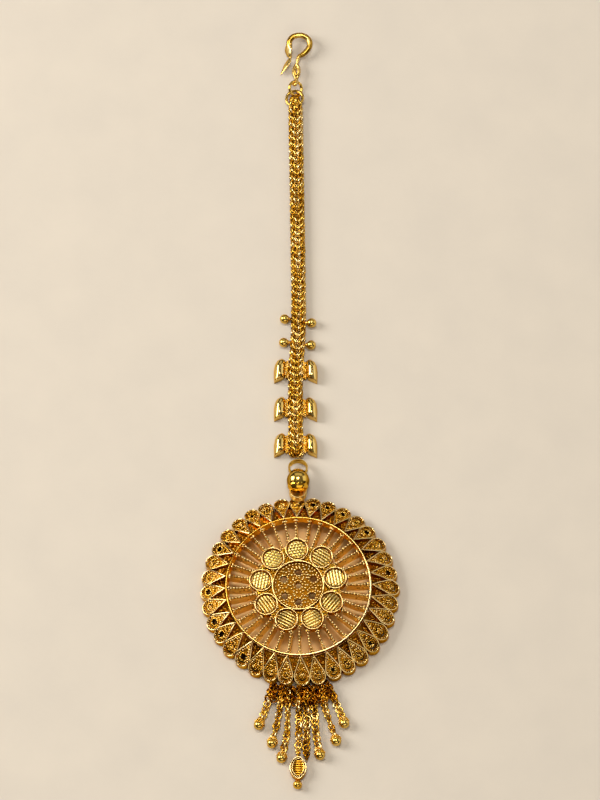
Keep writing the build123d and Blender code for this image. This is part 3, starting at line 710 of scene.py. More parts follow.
petal_deg = PETAL_START + 40.0 * np.arange(PETAL_N)
petal_xy = around(np.full(PETAL_N, PETAL_R), petal_deg)
spoke_strips, spoke_beads = Geo(), Geo()
for k in range(36):
    deg = TEAR_START + k * TEAR_STEP + RNG.uniform(-0.5, 0.5)
    rr = np.arange(6.0, 14.2, 0.02)
    line = around(rr, deg)
    dist = np.linalg.norm(line[:, None] - petal_xy[None], axis=-1).min(1)
    hit = rr[dist < PETAL_OUT + 0.12]
    r0 = hit.max() if len(hit) and hit.max() > 7.9 else 8.25
    n = 10
    rs = np.linspace(r0, RING_R - 0.05, n)
    bend = RNG.uniform(-0.12, 0.12)
    side = bend * np.sin(np.linspace(0, math.pi, n))
    p = around(rs, deg, side)
    # painted shade and light: the strip top under the beads is painted dark and its sides are painted light
    strip(spoke_strips, p, 0.22, dome(rs) - 0.48, dome(rs) - 3.7, False, 0.04, tone=0.0,
          painted_side_light=RNG.uniform(0.60, 1.0))
    low = rs[1:-1]
    sweep(spoke_strips, np.c_[around(low, deg, side[1:-1]), dome(low) - RNG.uniform(1.2, 1.8)], 0.16, 0.11, 8, tone=RNG.uniform(0.5, 1.0))
    rb = np.arange(r0 + 0.12, RING_R - 0.30, RNG.uniform(0.58, 0.64))
    sb = np.interp(rb, rs, side)
    c = around(rb, deg, sb + RNG.uniform(-.03, .03, len(rb)))
    beads(spoke_beads, np.c_[c, dome(rb) - 0.19 + RNG.uniform(-.04, .04, len(rb))],
          0.220 * RNG.uniform(.85, 1.12, len(rb)), tone=RNG.uniform(.85, 1.0, len(rb)), squash=1.0)
    # solder grains left along both sides of the strip
    nl = 9
    rl = RNG.uniform(r0 + 0.3, RING_R - 0.5, nl)
    cl = around(rl, deg, np.interp(rl, rs, side) + RNG.choice([-0.15, 0.15], nl))
    beads(spoke_beads, np.c_[cl, dome(rl) - RNG.uniform(0.9, 2.6, nl)], RNG.uniform(.13, .22, nl), tone=RNG.uniform(.0, .8, nl), squash=0.8)
    # solder beads at both ends
    for re, s in ((RING_R - 0.55, 0.30), (RING_R - 0.55, -0.30), (r0 + 0.22, 0.28), (r0 + 0.22, -0.28)):
        c = around(np.array([re]), deg, np.array([s]))
        beads(spoke_beads, np.c_[c, dome(re) - 0.30], 0.20, tone=RNG.uniform(.4, .9))
build("spoke_strips", spoke_strips, G_SPOKE, ("medallion",), 50)
build("spoke_beads", spoke_beads, G_DOT, ("medallion",))

petal_walls, petal_discs = Geo(), Geo()
HATCH = [1.0, 0.35, 0.25, 0.0, 0.15, 0.0, 0.0, 0.35, 0.9]
for k in range(PETAL_N):
    deg = petal_deg[k]
    c2 = petal_xy[k]
    tt = np.linspace(0, 2 * math.pi, 57)[:-1]
    rw = PETAL_OUT - 0.12
    loc = np.stack([rw * 0.98 * np.cos(tt), rw * np.sin(tt)], -1)
    a = math.radians(deg)
    er, et = np.array([math.sin(a), math.cos(a)]), np.array([math.cos(a), -math.sin(a)])
    xy = c2 + loc[:, :1] * et + loc[:, 1:] * er
    # painted shade: the wall sides are painted dark under the light top
    strip(petal_walls, xy, 0.21, 5.70, 3.9, True, 0.10, tone=0.85, painted_side_light=0.05)
    # convex ridged disc inside
    rd = PETAL_OUT - 0.42
    nu, nv = 85, 45
    us = np.linspace(-1, 1, nu)
    ss = np.linspace(-1, 1, nv)
    U, S = np.meshgrid(us, ss, indexing="ij")
    chord = np.sqrt(np.maximum(1 - U ** 2, 0.0008))
    lu, lv = rd * U, rd * S * chord
    rho = np.hypot(lu, lv) / rd
    top = 5.66 - 0.16 * rho ** 2
    tilt = math.radians(RNG.uniform(-12, 12))
    ru = lu * math.cos(tilt) + lv * math.sin(tilt)
    rv = -lu * math.sin(tilt) + lv * math.cos(tilt)
    pitch = 0.61
    ridge = np.abs(np.cos(math.pi * ru / pitch)) ** 0.9
    cross = np.abs(np.cos(math.pi * (ru * 0.45 + rv * 0.9) / (pitch * 0.95))) ** 0.9
    h = HATCH[k]
    relief = (1 - 0.55 * h) * ridge + 0.62 * h * cross
    Z = top - 0.22 + 0.22 * relief * np.clip((1 - rho) * 9, 0, 1)
    X = c2[0] + lv * et[0] + lu * er[0]
    Y = c2[1] + lv * et[1] + lu * er[1]
    V = np.stack([X, Y, Z], -1).reshape(-1, 3)
    i, j = np.meshgrid(np.arange(nu - 1), np.arange(nv - 1), indexing="ij")
    q = np.stack([i * nv + j, (i + 1) * nv + j, (i + 1) * nv + j + 1, i * nv + j + 1], -1).reshape(-1, 4)
    # painted light and shade: ridge tops are painted light and the grooves dark
    tone = np.clip(0.12 + 1.1 * np.clip(relief * 1.5 - 0.35, 0, 1) + RNG.uniform(-.08, .08, relief.shape), 0, 1).reshape(-1)
    petal_discs.add(V, quads=q[:, ::-1], tone=tone)
    # under side of the disc, so that it is a closed leaf of metal
    lathe(petal_discs, [(0.0, 4.95), (rd, 4.95), (rd + 0.02, 5.24)], (c2[0], c2[1], 0), (0, 0, 1), 48, tone=0.4)
build("petal_walls", petal_walls, G_WALL, ("medallion",), 50)
build("petal_discs", petal_discs, G_DISC, ("medallion",), 60)

bosses = Geo()
for k in range(PETAL_N):
    c = around(7.7, petal_deg[k] + 20.0)
    lathe(bosses, [(0.0, 4.3), (0.60, 4.3), (0.62, 5.0), (0.52, 5.28), (0.30, 5.42), (0.0, 5.46)],
          (c[0], c[1], 0), nseg=20, tone=0.5)
    ring_c = np.array([around(7.7 + 0.62 * math.cos(t), petal_deg[k] + 20.0, 0.62 * math.sin(t))
                       for t in np.arange(8) * math.pi / 4])
    beads(bosses, np.c_[ring_c, np.full(8, 5.25)], 0.19, tone=RNG.uniform(.3, .9, 8))
    inner_c = np.array([around(r, petal_deg[k] + 20.0, t) for r, t in
                        ((6.55, 0), (6.2, 0.33), (6.2, -0.33), (5.85, 0.62), (5.85, -0.62), (5.75, 0.1), (6.9, 0.0))])
    beads(bosses, np.c_[inner_c, np.full(7, 5.25)], 0.20, tone=RNG.uniform(.3, .9, 7))
# dark web plates between the petals and the centre wall: painted shade
webs = Geo()
for k in range(PETAL_N):
    a = petal_deg[k] + 20.0
    gp = np.array([around(5.10, a, -1.25), around(5.10, a, 0.0), around(5.10, a, 1.25), around(7.4, a, 0.25), around(7.4, a, -0.25)])
    webs.add(np.concatenate([np.c_[gp, np.full(5, 4.75)], np.c_[gp, np.full(5, 4.55)]]),
             quads=[(0, 1, 3, 4), (9, 8, 6, 5), (0, 5, 6, 1), (1, 6, 7, 2), (2, 7, 8, 3), (3, 8, 9, 4), (4, 9, 5, 0)],
             tris=[(1, 2, 3), (8, 7, 6)], tone=RNG.uniform(0.05, 0.35))
build("petal_webs", webs, G_PLATE_SHADE, ("medallion",), 40)
build("petal_bosses", bosses, G_FIL, ("medallion",))

centre_wall, centre_plate, centre_beads = Geo(), Geo(), Geo()
tt = np.linspace(0, 360, 97)[:-1]
# painted shade: the wall sides are painted dark under the light top
strip(centre_wall, around(np.full(96, CENTRE_OUT - 0.13), tt), 0.26, CENTRE_TOP + 0.02, 4.2, True, 0.12, tone=0.8, painted_side_light=0.05)
# plate with the six openings and the middle hole, as rings of cells left out
WIN = around(np.array([2.75, 3.30, 3.50, 3.50, 3.50, 3.15]), np.array([0.0, 66, 128, 180, 231, 294]))
nr, na = 30, 144
rads = np.linspace(0.62, CENTRE_OUT - 0.2, nr + 1)
angs = np.linspace(0, 360, na + 1)[:-1]


def open_cell(xy):
    return (np.linalg.norm(xy[:, None] - WIN[None], axis=-1) < 0.70).any(1)


RR, AA = np.meshgrid(rads, angs, indexing="ij")
gxy = around(RR.ravel(), AA.ravel())
top = np.c_[gxy, 5.34 - 0.012 * RR.ravel() ** 2]
bot = np.c_[gxy, np.full(len(gxy), 4.55)]
N0 = len(top)
quads = []
ii, jj = np.meshgrid(np.arange(nr), np.arange(na), indexing="ij")
mid = around((RR[:-1, :] + RR[1:, :]).ravel() / 2, AA[:-1].ravel() + 180.0 / na)
is_open = open_cell(mid).reshape(nr, na)


def vid(i, j, lower=False):
    return i * na + (j % na) + (N0 if lower else 0)


for i in range(nr):
    for j in range(na):
        if is_open[i, j]:
            continue
        quads.append((vid(i, j), vid(i, j + 1), vid(i + 1, j + 1), vid(i + 1, j)))
        quads.append((vid(i, j, 1), vid(i + 1, j, 1), vid(i + 1, j + 1, 1), vid(i, j + 1, 1)))
        if i == 0 or is_open[i - 1, j]:
            quads.append((vid(i, j), vid(i, j, 1), vid(i, j + 1, 1), vid(i, j + 1)))
        if i == nr - 1 or is_open[i + 1, j]:
            quads.append((vid(i + 1, j), vid(i + 1, j + 1), vid(i + 1, j + 1, 1), vid(i + 1, j, 1)))
        if is_open[i, (j - 1) % na]:
            quads.append((vid(i, j), vid(i + 1, j), vid(i + 1, j, 1), vid(i, j, 1)))
        if is_open[i, (j + 1) % na]:
            quads.append((vid(i, j + 1), vid(i, j + 1, 1), vid(i + 1, j + 1, 1), vid(i + 1, j + 1)))
# painted shade: the plate between the beads is painted dark
centre_plate.add(np.vstack([top, bot]), quads=quads, tone=0.06)

pts = []
for ringr, cnt, rad, dz in ((0.92, 9, 0.22, 0.16), (1.52, 14, 0.22, 0.12), (4.58, 42, 0.22, 0.08)):
    for t in np.arange(cnt):
        pts.append((*around(ringr, t * 360 / cnt + ringr * 40), dz, rad))
for w in range(6):
    for t in np.arange(10):
        a = t * 2 * math.pi / 10 + w
        cpt = WIN[w] + (0.90 + RNG.uniform(-.08, .06)) * np.array([math.cos(a), math.sin(a)])
        if abs(radius_of(cpt) - 1.5) < 0.3 or radius_of(cpt) > 4.4:
            continue
        pts.append((*cpt, 0.12, 0.21))
keep = [p for p in pts]
step = 0.66
for i in range(-12, 13):
    for j in range(-12, 13):
        x, y = (i + 0.5 * (j % 2)) * step, j * step * 0.866
        rho = math.hypot(x, y)
        if rho > 4.5 or rho < 1.5:
            continue
        q = np.array([MED_X + x + RNG.uniform(-.13, .13), MED_Y + y + RNG.uniform(-.13, .13)])
        if (np.linalg.norm(WIN - q, axis=1) < 1.25).any():
            continue
        if rho > 4.25 or rho < 1.8:
            continue
        keep.append((*q, 0.12, 0.22))
keep = np.array(keep)
rho = radius_of(keep[:, :2])
beads(centre_beads, np.c_[keep[:, :2], 5.36 - 0.012 * rho ** 2 + keep[:, 2] + RNG.uniform(-.04, .04, len(keep))],
      keep[:, 3] * RNG.uniform(.85, 1.1, len(keep)), tone=RNG.uniform(.6, 1.0, len(keep)), squash=0.9, tilt=16)
build("centre_wall", centre_wall, G_WALL, ("medallion",), 50)
build("centre_plate", centre_plate, G_PLATE_SHADE, ("medallion",), 40)
build("centre_beads", centre_beads, G_DOT, ("medallion",))

# loops soldered under the rim for the fringe
loops = Geo()
lv, lq = torus_template(0.34, 0.13, 18, 8)
for s in STRANDS:
    x = s[0][0]
    rim_y = MED_Y - math.sqrt(max(19.85 ** 2 - x * x, 0))
    loops.add(place(lv, (x, rim_y - 0.30, 0.80), np.array([0, 1.0, 0]), np.array([0, 0, 1.0]), np.array([1.0, 0, 0])), quads=lq)
build("fringe_loops", loops, G_WIRE, ("medallion",))

# ---------------------------------------------------------------- double chain
rows = np.array(CHAIN_ROUTE)
for side, name in ((-1, "chain_left"), (1, "chain_right")):
    pts = np.c_[rows[:, 0] + side * rows[:, 2] * 0.92, rows[:, 1], np.full(len(rows), 0.74)]
    pos, tan = walk(spline(pts, 24), 0.715, 0.15)
    g = Geo()
    shade = (0.25, 0.95)
    links(g, pos, tan, 0.70, 0.155, 18, 7, start=(side > 0), wobble=9, yaw=side * 20.0, tone=shade, twin=0.19, painted_left_shade=0.7 if side < 0 else 0.0)
    # dark core tube inside the strand: painted shade between the links
    painted_shade_core = spline(pts[::2], 12)
    sweep(g, painted_shade_core, 0.40, 0.40, 14, tone=0.05)
    # the first links fan up into the oval ring
    up_path = spline([(pts[0][0], pts[0][1] + 0.3, 0.75), (pts[0][0] - side * 0.18, pts[0][1] + 1.0, 1.0),
                      (pts[0][0] - side * 0.42, pts[0][1] + 1.9, 1.25)], 10)
    pos, tan = walk(up_path, 0.72, 0.1)
    links(g, pos, tan, 0.66, 0.24, 22, 9, start=(side > 0), wobble=18)
    kv, kq = torus_template(0.52, 0.22, 20, 9)
    for m in range(5):
        ez = unit(np.array([RNG.uniform(-1, 1), RNG.uniform(-.8, .8), RNG.uniform(.1, .9)]))
        ex = unit(np.cross([0, 1.0, 0], ez))
        p = np.array([-0.86 + side * RNG.uniform(.15, .75), 64.6 + 0.42 * m * RNG.uniform(.8, 1.1), RNG.uniform(.95, 1.25)])
        g.add(place(kv, p, ex, np.cross(ez, ex), ez), quads=kq, tone=RNG.uniform(.0, .35))
    build(name + "_links", g, G_CHAIN, (name,))

# ---------------------------------------------------------------- side balls
for name, x, y in SIDE_BALLS:
    g = Geo()
    s = -1 if x < 0 else 1
    c = np.array([x, y, 0.95])
    prof = [(0.95 * math.cos(t), 0.95 * math.sin(t)) for t in np.linspace(-math.pi / 2, math.pi / 2, 25)]
    lathe(g, prof, c, (s, 0, 0), 36, tone=0.55)
    lathe(g, [(0.0, -1.55), (0.28, -1.55), (0.28, -1.05), (0.42, -0.98), (0.44, -0.86), (0.36, -0.80), (0.0, -0.80)],
          c, (s, 0, 0), 20, tone=0.4)
    build(name + "_polished", g, G_BALL, (name,))

# ---------------------------------------------------------------- leaves
LEAF_L, LEAF_W, LEAF_H = 4.95, 2.30, 2.1
for name, edge_x, top_y, side in LEAVES:
    g, gg = Geo(), Geo()
    nu, nv = 33, 17

    def outline(t):
        """Outer and inner u (from the outer edge inwards) of the leaf at t, 0 at the top and 1 at the foot."""
        outer = np.interp(t, [0, .04, .12, .25, .5, .8, .93, 1.0], [1.35, .95, .50, .18, -0.02, -.02, 0.02, 0.05])
        inner = np.interp(t, [0, .02, .08, .70, .80, .88, .95, 1.0], [1.70, 2.05, 2.30, 2.30, 2.05, 1.45, 0.60, 0.12])
        return outer, inner

    t = (1 - np.cos(np.linspace(0, math.pi, nu))) / 2
    o, i_ = outline(t)
    w = np.linspace(0, 1, nv)
    U = o[:, None] + (i_ - o)[:, None] * w[None]
    Y = np.broadcast_to(-LEAF_L * t[:, None], U.shape)
    across = np.abs(2 * w - 1)[None]
    along = np.interp(t, [0, .1, .3, .7, .9, 1], [.25, .72, 1, 1, .80, .25])[:, None]
    Z = 0.55 + (LEAF_H - 0.55) * along * (1 - across ** 2.0) ** 0.55
    X = side * (-U)
    V = np.stack([edge_x + X, top_y + Y, Z], -1)
    low = V.copy(); low[..., 2] = 0.02
    n = nu * nv
    i, j = np.meshgrid(np.arange(nu - 1), np.arange(nv - 1), indexing="ij")
    q = np.stack([i * nv + j, (i + 1) * nv + j, (i + 1) * nv + j + 1, i * nv + j + 1], -1).reshape(-1, 4)
    if side > 0:
        q = q[:, ::-1]
    rim = [(a, 0) for a in range(nu)] + [(nu - 1, b) for b in range(1, nv)] + \
          [(a, nv - 1) for a in range(nu - 2, -1, -1)] + [(0, b) for b in range(nv - 2, 0, -1)]
    rid = [a * nv + b for a, b in rim]
    sq = []
    for a, b in zip(rid, rid[1:] + rid[:1]):
        sq.append((a, a + n, b + n, b) if side > 0 else (a, b, b + n, a + n))
    # painted shade: the top is light while the sides darken towards the floor and the underside is dark
    g.add(np.vstack([V.reshape(-1, 3), low.reshape(-1, 3)]), quads=np.vstack([q, q[:, ::-1] + n, np.array(sq)]),
          tone=np.concatenate([np.full(n, 0.70), np.full(n, 0.15)]))
    build(name + "_polished", g, G_POL, (name,), 88)
    # granulated strip on the inner side
    xs = edge_x - side * (LEAF_W + 0.27)
    sp = [(xs - side * 0.06, top_y - 0.55), (xs, top_y - 1.2), (xs, top_y - 3.4), (xs - side * 0.1, top_y - 4.05)]
    strip(gg, spline(sp, 4), 0.55, 0.95, 0.1, False, 0.1, tone=0.4)
    for row, (dx, z) in enumerate(((-0.20, 1.02), (0.20, 0.98))):
        for y in np.arange(top_y - 0.6 - 0.17 * row, top_y - 4.1, -0.36):
            beads(gg, [(xs + side * dx + RNG.uniform(-.03, .03), y, z + RNG.uniform(-.05, .05))], 0.20, tone=RNG.uniform(.4, .9))
    build(name + "_granules", gg, G_FIL, (name,))

# ---------------------------------------------------------------- rings


def turned(roll, pitch):
    a, b = math.radians(roll), math.radians(pitch)
    ry = np.array([[math.cos(a), 0, math.sin(a)], [0, 1, 0], [-math.sin(a), 0, math.cos(a)]])
    rx = np.array([[1, 0, 0], [0, math.cos(b), -math.sin(b)], [0, math.sin(b), math.cos(b)]])
    return rx @ ry


for name, x, y, z, hl, hw, wr, roll, pitch in (
        ("top_ring", -0.66, 68.18, 1.04, 1.40, 1.39, 0.28, 30.6, 13.6),
        ("chain_ring", -0.86, 66.085, 0.91, 1.66, 1.65, 0.29, -12.15, -5.9)):
    g = Geo()
    v, q = torus_template(hw, wr, 56, 14, hl - hw)
    g.add(v @ turned(roll, pitch).T + np.array([x, y, z]), quads=q, tone=0.55)
    build(name + "_wire", g, G_WIRE, (name,))

# band ring, bead and bail
g = Geo()
m = turned(0, -20.0)
prof = [(1.68, -0.575), (1.90, -0.575), (1.95, -0.50), (1.96, 0), (1.95, 0.50), (1.90, 0.575), (1.70, 0.575), (1.66, 0.5), (1.655, 0), (1.66, -0.5)]
tmp = Geo()
lathe(tmp, prof, (0, 0, 0), (0, 0, 1), 72, closed_prof=True)
v = np.concatenate(tmp.v) @ m.T + np.array([-0.16, -12.60, 1.62])
bead_c = np.array([-0.14, -15.48, 2.28])
d = v - bead_c
dist = np.linalg.norm(d, axis=1)
push = dist < 2.36
v[push] = bead_c + d[push] / dist[push][:, None] * 2.36
g.add(v, quads=np.concatenate(tmp.q), tone=0.50)
build("connector_band", g, G_POL, ("connector_ring",), 45)

g = Geo()
prof = [(0.60, -1.90), (0.95, -1.96)] + [(2.28 * math.cos(t), 2.28 * math.sin(t)) for t in np.linspace(-0.97, 0.97, 41)] + [(0.95, 1.96), (0.60, 1.90)]
lathe(g, prof, bead_c, (0, 1, 0), 64, tone=0.5, closed_prof=True)
# painted shade: the bead is painted dark on its sides and lower part, lighter towards the top
painted_shade_height = (g.v[-1][:, 2] - bead_c[2]) / 2.28
g.a[-1] = np.interp(painted_shade_height, [0.45, 0.80], [0.0, 0.55])
build("bead_polished", g, G_BALL, ("bead",), 60)
g = Geo()
lathe(g, [(0.25, 1.7), (1.15, 1.72), (1.24, 1.90), (1.10, 2.16), (0.70, 2.34), (0.25, 2.36)], bead_c, (0, 1, 0), 40, tone=0.6, closed_prof=True)
# scalloped cup below the bead
ns, k = 72, 0
u = np.arange(ns) * 2 * math.pi / ns
cup = []
for rr, yy, wob in ((2.03, -1.16, 0.24), (2.09, -1.12, 0.24), (2.08, -1.30, 0.14), (1.86, -1.70, 0.05), (1.66, -2.00, 0.0),
                    (1.40, -2.24, 0), (0.35, -2.28, 0), (0.35, -2.0, 0), (1.0, -1.95, 0), (1.62, -1.72, 0.04)):
    lobe = wob * np.cos(9 * u)
    cup.append(np.stack([bead_c[0] + rr * np.cos(u), bead_c[1] + yy + lobe, bead_c[2] + rr * np.sin(u)], -1))
cup = np.stack(cup, 1)
k = cup.shape[1]
i, j = np.meshgrid(np.arange(ns), np.arange(k), indexing="ij")
q = np.stack([i * k + j, i * k + (j + 1) % k, ((i + 1) % ns) * k + (j + 1) % k, ((i + 1) % ns) * k + j], -1).reshape(-1, 4)
g.add(cup.reshape(-1, 3), quads=q, tone=0.5)
for t in np.arange(18) * 2 * math.pi / 18:
    beads(g, [(bead_c[0] + 1.22 * math.cos(t), bead_c[1] - 2.10, bead_c[2] + 1.22 * math.sin(t))], 0.17, tone=RNG.uniform(.3, .9))
build("bead_cups", g, G_FIL, ("bead",), 60)

# bail: tapered band with a closed back
g = Geo()
u_half = np.array([(1.66, 1.55), (1.64, 0.9), (1.60, 0.2), (1.48, -0.45), (1.26, -1.00), (0.96, -1.42), (0.58, -1.70), (0.20, -1.82)])
u_half = spline(np.c_[u_half, np.zeros(len(u_half))], 4)[:, :2]
u_path = np.vstack([u_half * [-1, 1], u_half[::-1]])
tmp = Geo()
strip(tmp, u_path, 0.26, 0.6, -0.6, False, 0.06, tone=0.75)
inner = u_path * [0.78, 0.90] + [0, 0.05]
strip(tmp, inner, 0.42, 0.12, -0.6, False, 0.16, tone=0.95)
n = len(inner)
cen = np.array([[0.0, 0.35]])
bz = np.array([-0.30, -0.50])
v = np.concatenate([np.c_[inner, np.full(n, bz[0])], np.c_[cen, bz[:1]], np.c_[inner, np.full(n, bz[1])], np.c_[cen, bz[1:]]])
i = np.arange(n - 1)
tmp.add(v, quads=np.stack([i, i + n + 1, i + n + 2, i + 1], -1),
        tris=np.concatenate([np.stack([i, i + 1, np.full(n - 1, n)], -1), np.stack([i + n + 2, i + n + 1, np.full(n - 1, 2 * n + 1)], -1),
                             [[n - 1, 0, n], [n + 1, 2 * n, 2 * n + 1]]]), tone=0.42)
v = np.concatenate(tmp.v) @ turned(0, -30.0).T + np.array([-0.16, -18.15, 2.42])
g.add(v, quads=np.concatenate(tmp.q), tris=np.concatenate(tmp.t), tone=np.concatenate(tmp.a))
build("bail_band", g, G_SATIN, ("bail",), 45)

# ---------------------------------------------------------------- hook
g = Geo()
LOOP = [(0.02, 74.92, 1.36), (0.98, 75.44, 1.46), (1.94, 76.54, 1.55), (2.22, 77.56, 1.60), (1.90, 78.50, 1.62),
        (0.98, 79.18, 1.62), (-0.12, 79.31, 1.62), (-1.20, 79.00, 1.60), (-1.86, 78.14, 1.55), (-1.94, 77.35, 1.48),
        (-2.06, 76.35, 1.36), (-1.92, 75.35, 1.24), (-1.70, 74.70, 1.18), (-2.02, 73.95, 1.08), (-2.55, 73.10, 0.95),
        (-3.10, 72.15, 0.78), (-3.66, 71.25, 0.58)]
KEYS = [0, 1, 2, 7, 8, 9, 10, 11, 12, 13, 14, 15, 16]
p = spline(LOOP, 9)
n = len(p)
t = np.linspace(0, len(LOOP) - 1, n)
ra = np.interp(t, KEYS, [.40, .52, .55, .56, .56, .60, 1.12, .74, .26, .66, .74, .48, .05])
rb = np.interp(t, KEYS, [.40, .50, .52, .52, .50, .44, .26, .22, .18, .22, .24, .18, .04])
lean_x = np.interp(t, KEYS, [0, 0, 0, 0, -.10, -.50, -1.15, -1.2, -1.0, -.9, -1.1, -1.1, -1.0])
ups = unit(np.stack([lean_x, np.interp(t, KEYS, [0] * 8 + [.1, .3, .4, .4, .4]), np.ones(n)], -1))
# painted highlights and shade: the tone rises where the wire catches the light, and the outer side of the wire is
# painted darker
shade = np.interp(t, [0, 1, 2, 3, 4, 5, 6, 7, 8, 9, 10, 11, 12, 13, 16], [.40, .30, .22, .35, .75, .35, .50, .25, .20, .40, .80, .75, .50, .65, .50])
wa = np.arange(18) * 2 * math.pi / 18
shade = shade[:, None] * (1 - 0.75 * np.clip(np.cos(wa) + 0.1, 0, 1) ** 0.7)[None]
sweep(g, p, ra, rb, 18, up=ups, tone=np.concatenate([shade.ravel(), [0.3, 0.4]]))
stem = spline([p[2], p[0], (-0.22, 74.20, 1.34), (-0.34, 73.55, 1.34), (-0.40, 72.95, 1.34)], 6)
tb = np.linspace(0, 1, len(stem))
sweep(g, stem, np.interp(tb, [0, .5, 1], [.38, .34, .24]), np.interp(tb, [0, .5, 1], [.38, .34, .24]), 14, tone=0.5)
loop = spline([(-0.42, 73.25, 1.48), (-0.08, 72.50, 1.56), (0.02, 71.55, 1.48), (-0.22, 70.65, 1.30), (-0.62, 69.90, 1.16),
               (-1.02, 69.25, 1.22), (-0.95, 68.80, 1.50), (-0.55, 68.92, 1.78), (-0.45, 69.70, 1.66), (-0.78, 70.62, 1.42),
               (-1.04, 71.50, 1.28), (-0.92, 72.45, 1.22), (-0.48, 73.20, 1.22)], 8)
sweep(g, loop, 0.31, 0.31, 14, tone=0.5)
curl = spline([(-0.30, 72.35, 1.62), (-0.05, 71.75, 1.80), (-0.20, 71.05, 1.72), (-0.55, 71.00, 1.58), (-0.72, 71.65, 1.55),
               (-0.62, 72.30, 1.52)], 6)
sweep(g, curl, 0.22, 0.22, 10, tone=0.35)
build("hook_wire", g, G_HOOK, ("hook",))

# ---------------------------------------------------------------- fringe
jv, jq = torus_template(0.60, 0.18, 20, 8)
for k, s in enumerate(STRANDS):
    g = Geo()
    pts = np.c_[np.array(s), np.full(4, 0.80)]
    path = spline(pts, 16)
    pos, tan = walk(path, 0.60, 0.35)
    links(g, pos, tan, 0.66, 0.18, 20, 8, start=k % 2, wobble=34, loose=RNG.uniform(8, 34), tone=(0.05, 0.90))
    # crowded jump rings where the strands hang from the rim, painted darker towards the rim as shade
    crowd = Geo()
    t0 = unit(path[1] - path[0])
    nxt = np.array([*STRANDS[min(k + 1, 7)][0], 0.8])
    for m in range(7):
        for half in (0, 1):
            if half and k == 7:
                continue
            p0 = path[0] * (1 - half * 0.5) + nxt * half * 0.5
            p = p0 + t0 * (0.48 * m - 0.70 + 0.2 * half) + np.array([RNG.uniform(-.25, .25), RNG.uniform(-.12, .12), 0.05 + 0.45 * RNG.random() + 0.25 * half])
            ez = unit(np.array([RNG.uniform(-1, 1), RNG.uniform(-.6, .6), RNG.uniform(.1, 1.0)]))
            p[2] = max(p[2], 0.20 + 0.60 * math.hypot(ez[0], ez[1]))
            ex = unit(np.cross([0, 1.0, 0], ez))
            crowd.add(place(jv, p, ex, np.cross(ez, ex), ez), quads=jq, tone=RNG.uniform(0.0, 0.15 + 0.12 * m))
    build(f"fringe_{k + 1}_links", g, G_CHAIN, (f"fringe_{k + 1}",))
    build(f"fringe_{k + 1}_jump_rings", crowd, G_CROWD_SHADE, (f"fringe_{k + 1}",))

for k, x, y in FRINGE_BALLS:
    g = Geo()
    end = np.array([*STRANDS[k - 1][-1], 0.80])
    c = np.array([x, y, 1.0])
    ax = unit((end - c) * np.array([1, 1, 0.4]))
    prof = [(1.0 * math.cos(t), 1.0 * math.sin(t)) for t in np.linspace(-math.pi / 2, math.pi / 2, 25)]
    lathe(g, prof, c, ax, 36, tone=0.55)
    gc = Geo()
    lathe(gc, [(0.90, 0.15), (1.02, 0.22), (1.04, 0.38), (0.94, 0.72), (0.74, 1.02), (0.50, 1.26), (0.32, 1.42), (0.0, 1.44), (0.0, 0.6)],
          c, ax, 28, tone=0.55)
    sx = unit(np.cross(ax, (0, 0, 1)))
    sy = np.cross(sx, ax)
    for m, (rr, hh) in enumerate(((1.02, 0.36), (0.88, 0.78), (0.62, 1.12), (0.38, 1.38))):
        tb = np.arange(16 - 3 * m) * 2 * math.pi / (16 - 3 * m) + m
        pts = c + ax * hh + sx * (rr * np.cos(tb))[:, None] + sy * (rr * np.sin(tb))[:, None]
        pts = pts[pts[:, 2] > 0.2]
        beads(gc, pts, 0.16, tone=RNG.uniform(.2, 1, len(pts)), squash=0.9)
    build(f"fringe_ball_{k}_polished", g, G_BALL, (f"fringe_ball_{k}",))
    build(f"fringe_ball_{k}_cup", gc, G_FIL, (f"fringe_ball_{k}",))

# ---------------------------------------------------------------- drop charm
g, gr = Geo(), Geo()
cx, cy = -0.14, -75.42


def vesica(half_w, half_l, n=48):
    t = np.linspace(0, 2 * math.pi, n + 1)[:-1]
    yy = half_l * np.cos(t)
    ww = half_w * np.sign(np.sin(t)) * np.abs(np.sin(t)) ** 1.40
    return np.stack([cx + ww, cy + yy], -1)


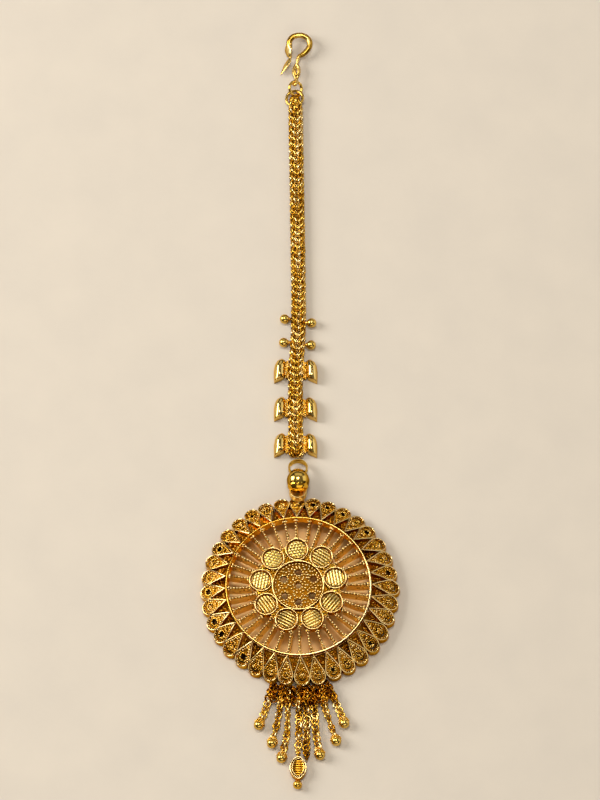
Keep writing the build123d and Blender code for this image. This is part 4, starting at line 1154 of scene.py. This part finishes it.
# painted light and shade: the frame tops are light and their sides painted darker
strip(g, vesica(1.58, 2.28), 0.22, 1.60, 0.06, True, 0.11, tone=0.95, painted_side_light=0.35)
strip(g, vesica(1.20, 1.88), 0.15, 1.62, 0.6, True, 0.07, tone=0.85, painted_side_light=0.0)
# painted shade: the plate between the ridges is painted dark
plate = vesica(1.50, 2.2)
nn = len(plate)
pv = np.vstack([np.c_[plate, np.full(nn, 1.06)], [[cx, cy, 1.10]], np.c_[plate, np.full(nn, 0.5)], [[cx, cy, 0.5]]])
i = np.arange(nn); i2 = (i + 1) % nn
gp = Geo()
gp.add(pv, quads=np.stack([i, i + nn + 1, i2 + nn + 1, i2], -1),
       tris=np.concatenate([np.stack([i, i2, np.full(nn, nn)], -1), np.stack([i2 + nn + 1, i + nn + 1, np.full(nn, 2 * nn + 1)], -1)]), tone=0.0)
build("drop_charm_plate", gp, G_PLATE_SHADE, ("drop_charm",), 40)
for yy in np.arange(-1.52, 1.60, 0.48):
    w = 1.10 * max(0.0, math.sin(math.acos(min(1, abs(yy) / 1.9)))) ** 1.40
    if w > 0.15:
        sweep(gr, [(cx - w, cy + yy, 1.18), (cx - w * .3, cy + yy + .04, 1.24), (cx + w * .3, cy + yy + .04, 1.24), (cx + w, cy + yy, 1.18)],
              0.20, 0.22, 12, tone=0.45)
build("drop_charm_ridges", gr, G_FIL, ("drop_charm",))
prof = [(0.90 * math.cos(t), 0.90 * math.sin(t)) for t in np.linspace(-math.pi / 2, math.pi / 2, 25)]
lathe(g, prof, (-0.24, -78.84, 0.90), (0, 1, 0), 36, tone=0.5)
lathe(g, [(0.50, 0.62), (0.56, 0.72), (0.42, 0.90), (0.26, 1.12), (0.0, 1.14)], (-0.24, -78.84, 0.90), (0, 1, 0), 24, tone=0.5)
jv, jq = torus_template(0.42, 0.13, 20, 8)
g.add(place(jv, (-0.18, -73.0, 0.9), np.array([0, 0, 1.0]), np.array([0, 1.0, 0]), np.array([1.0, 0, 0])), quads=jq, tone=0.3)
build("drop_charm_frame", g, G_WALL, ("drop_charm",), 50)
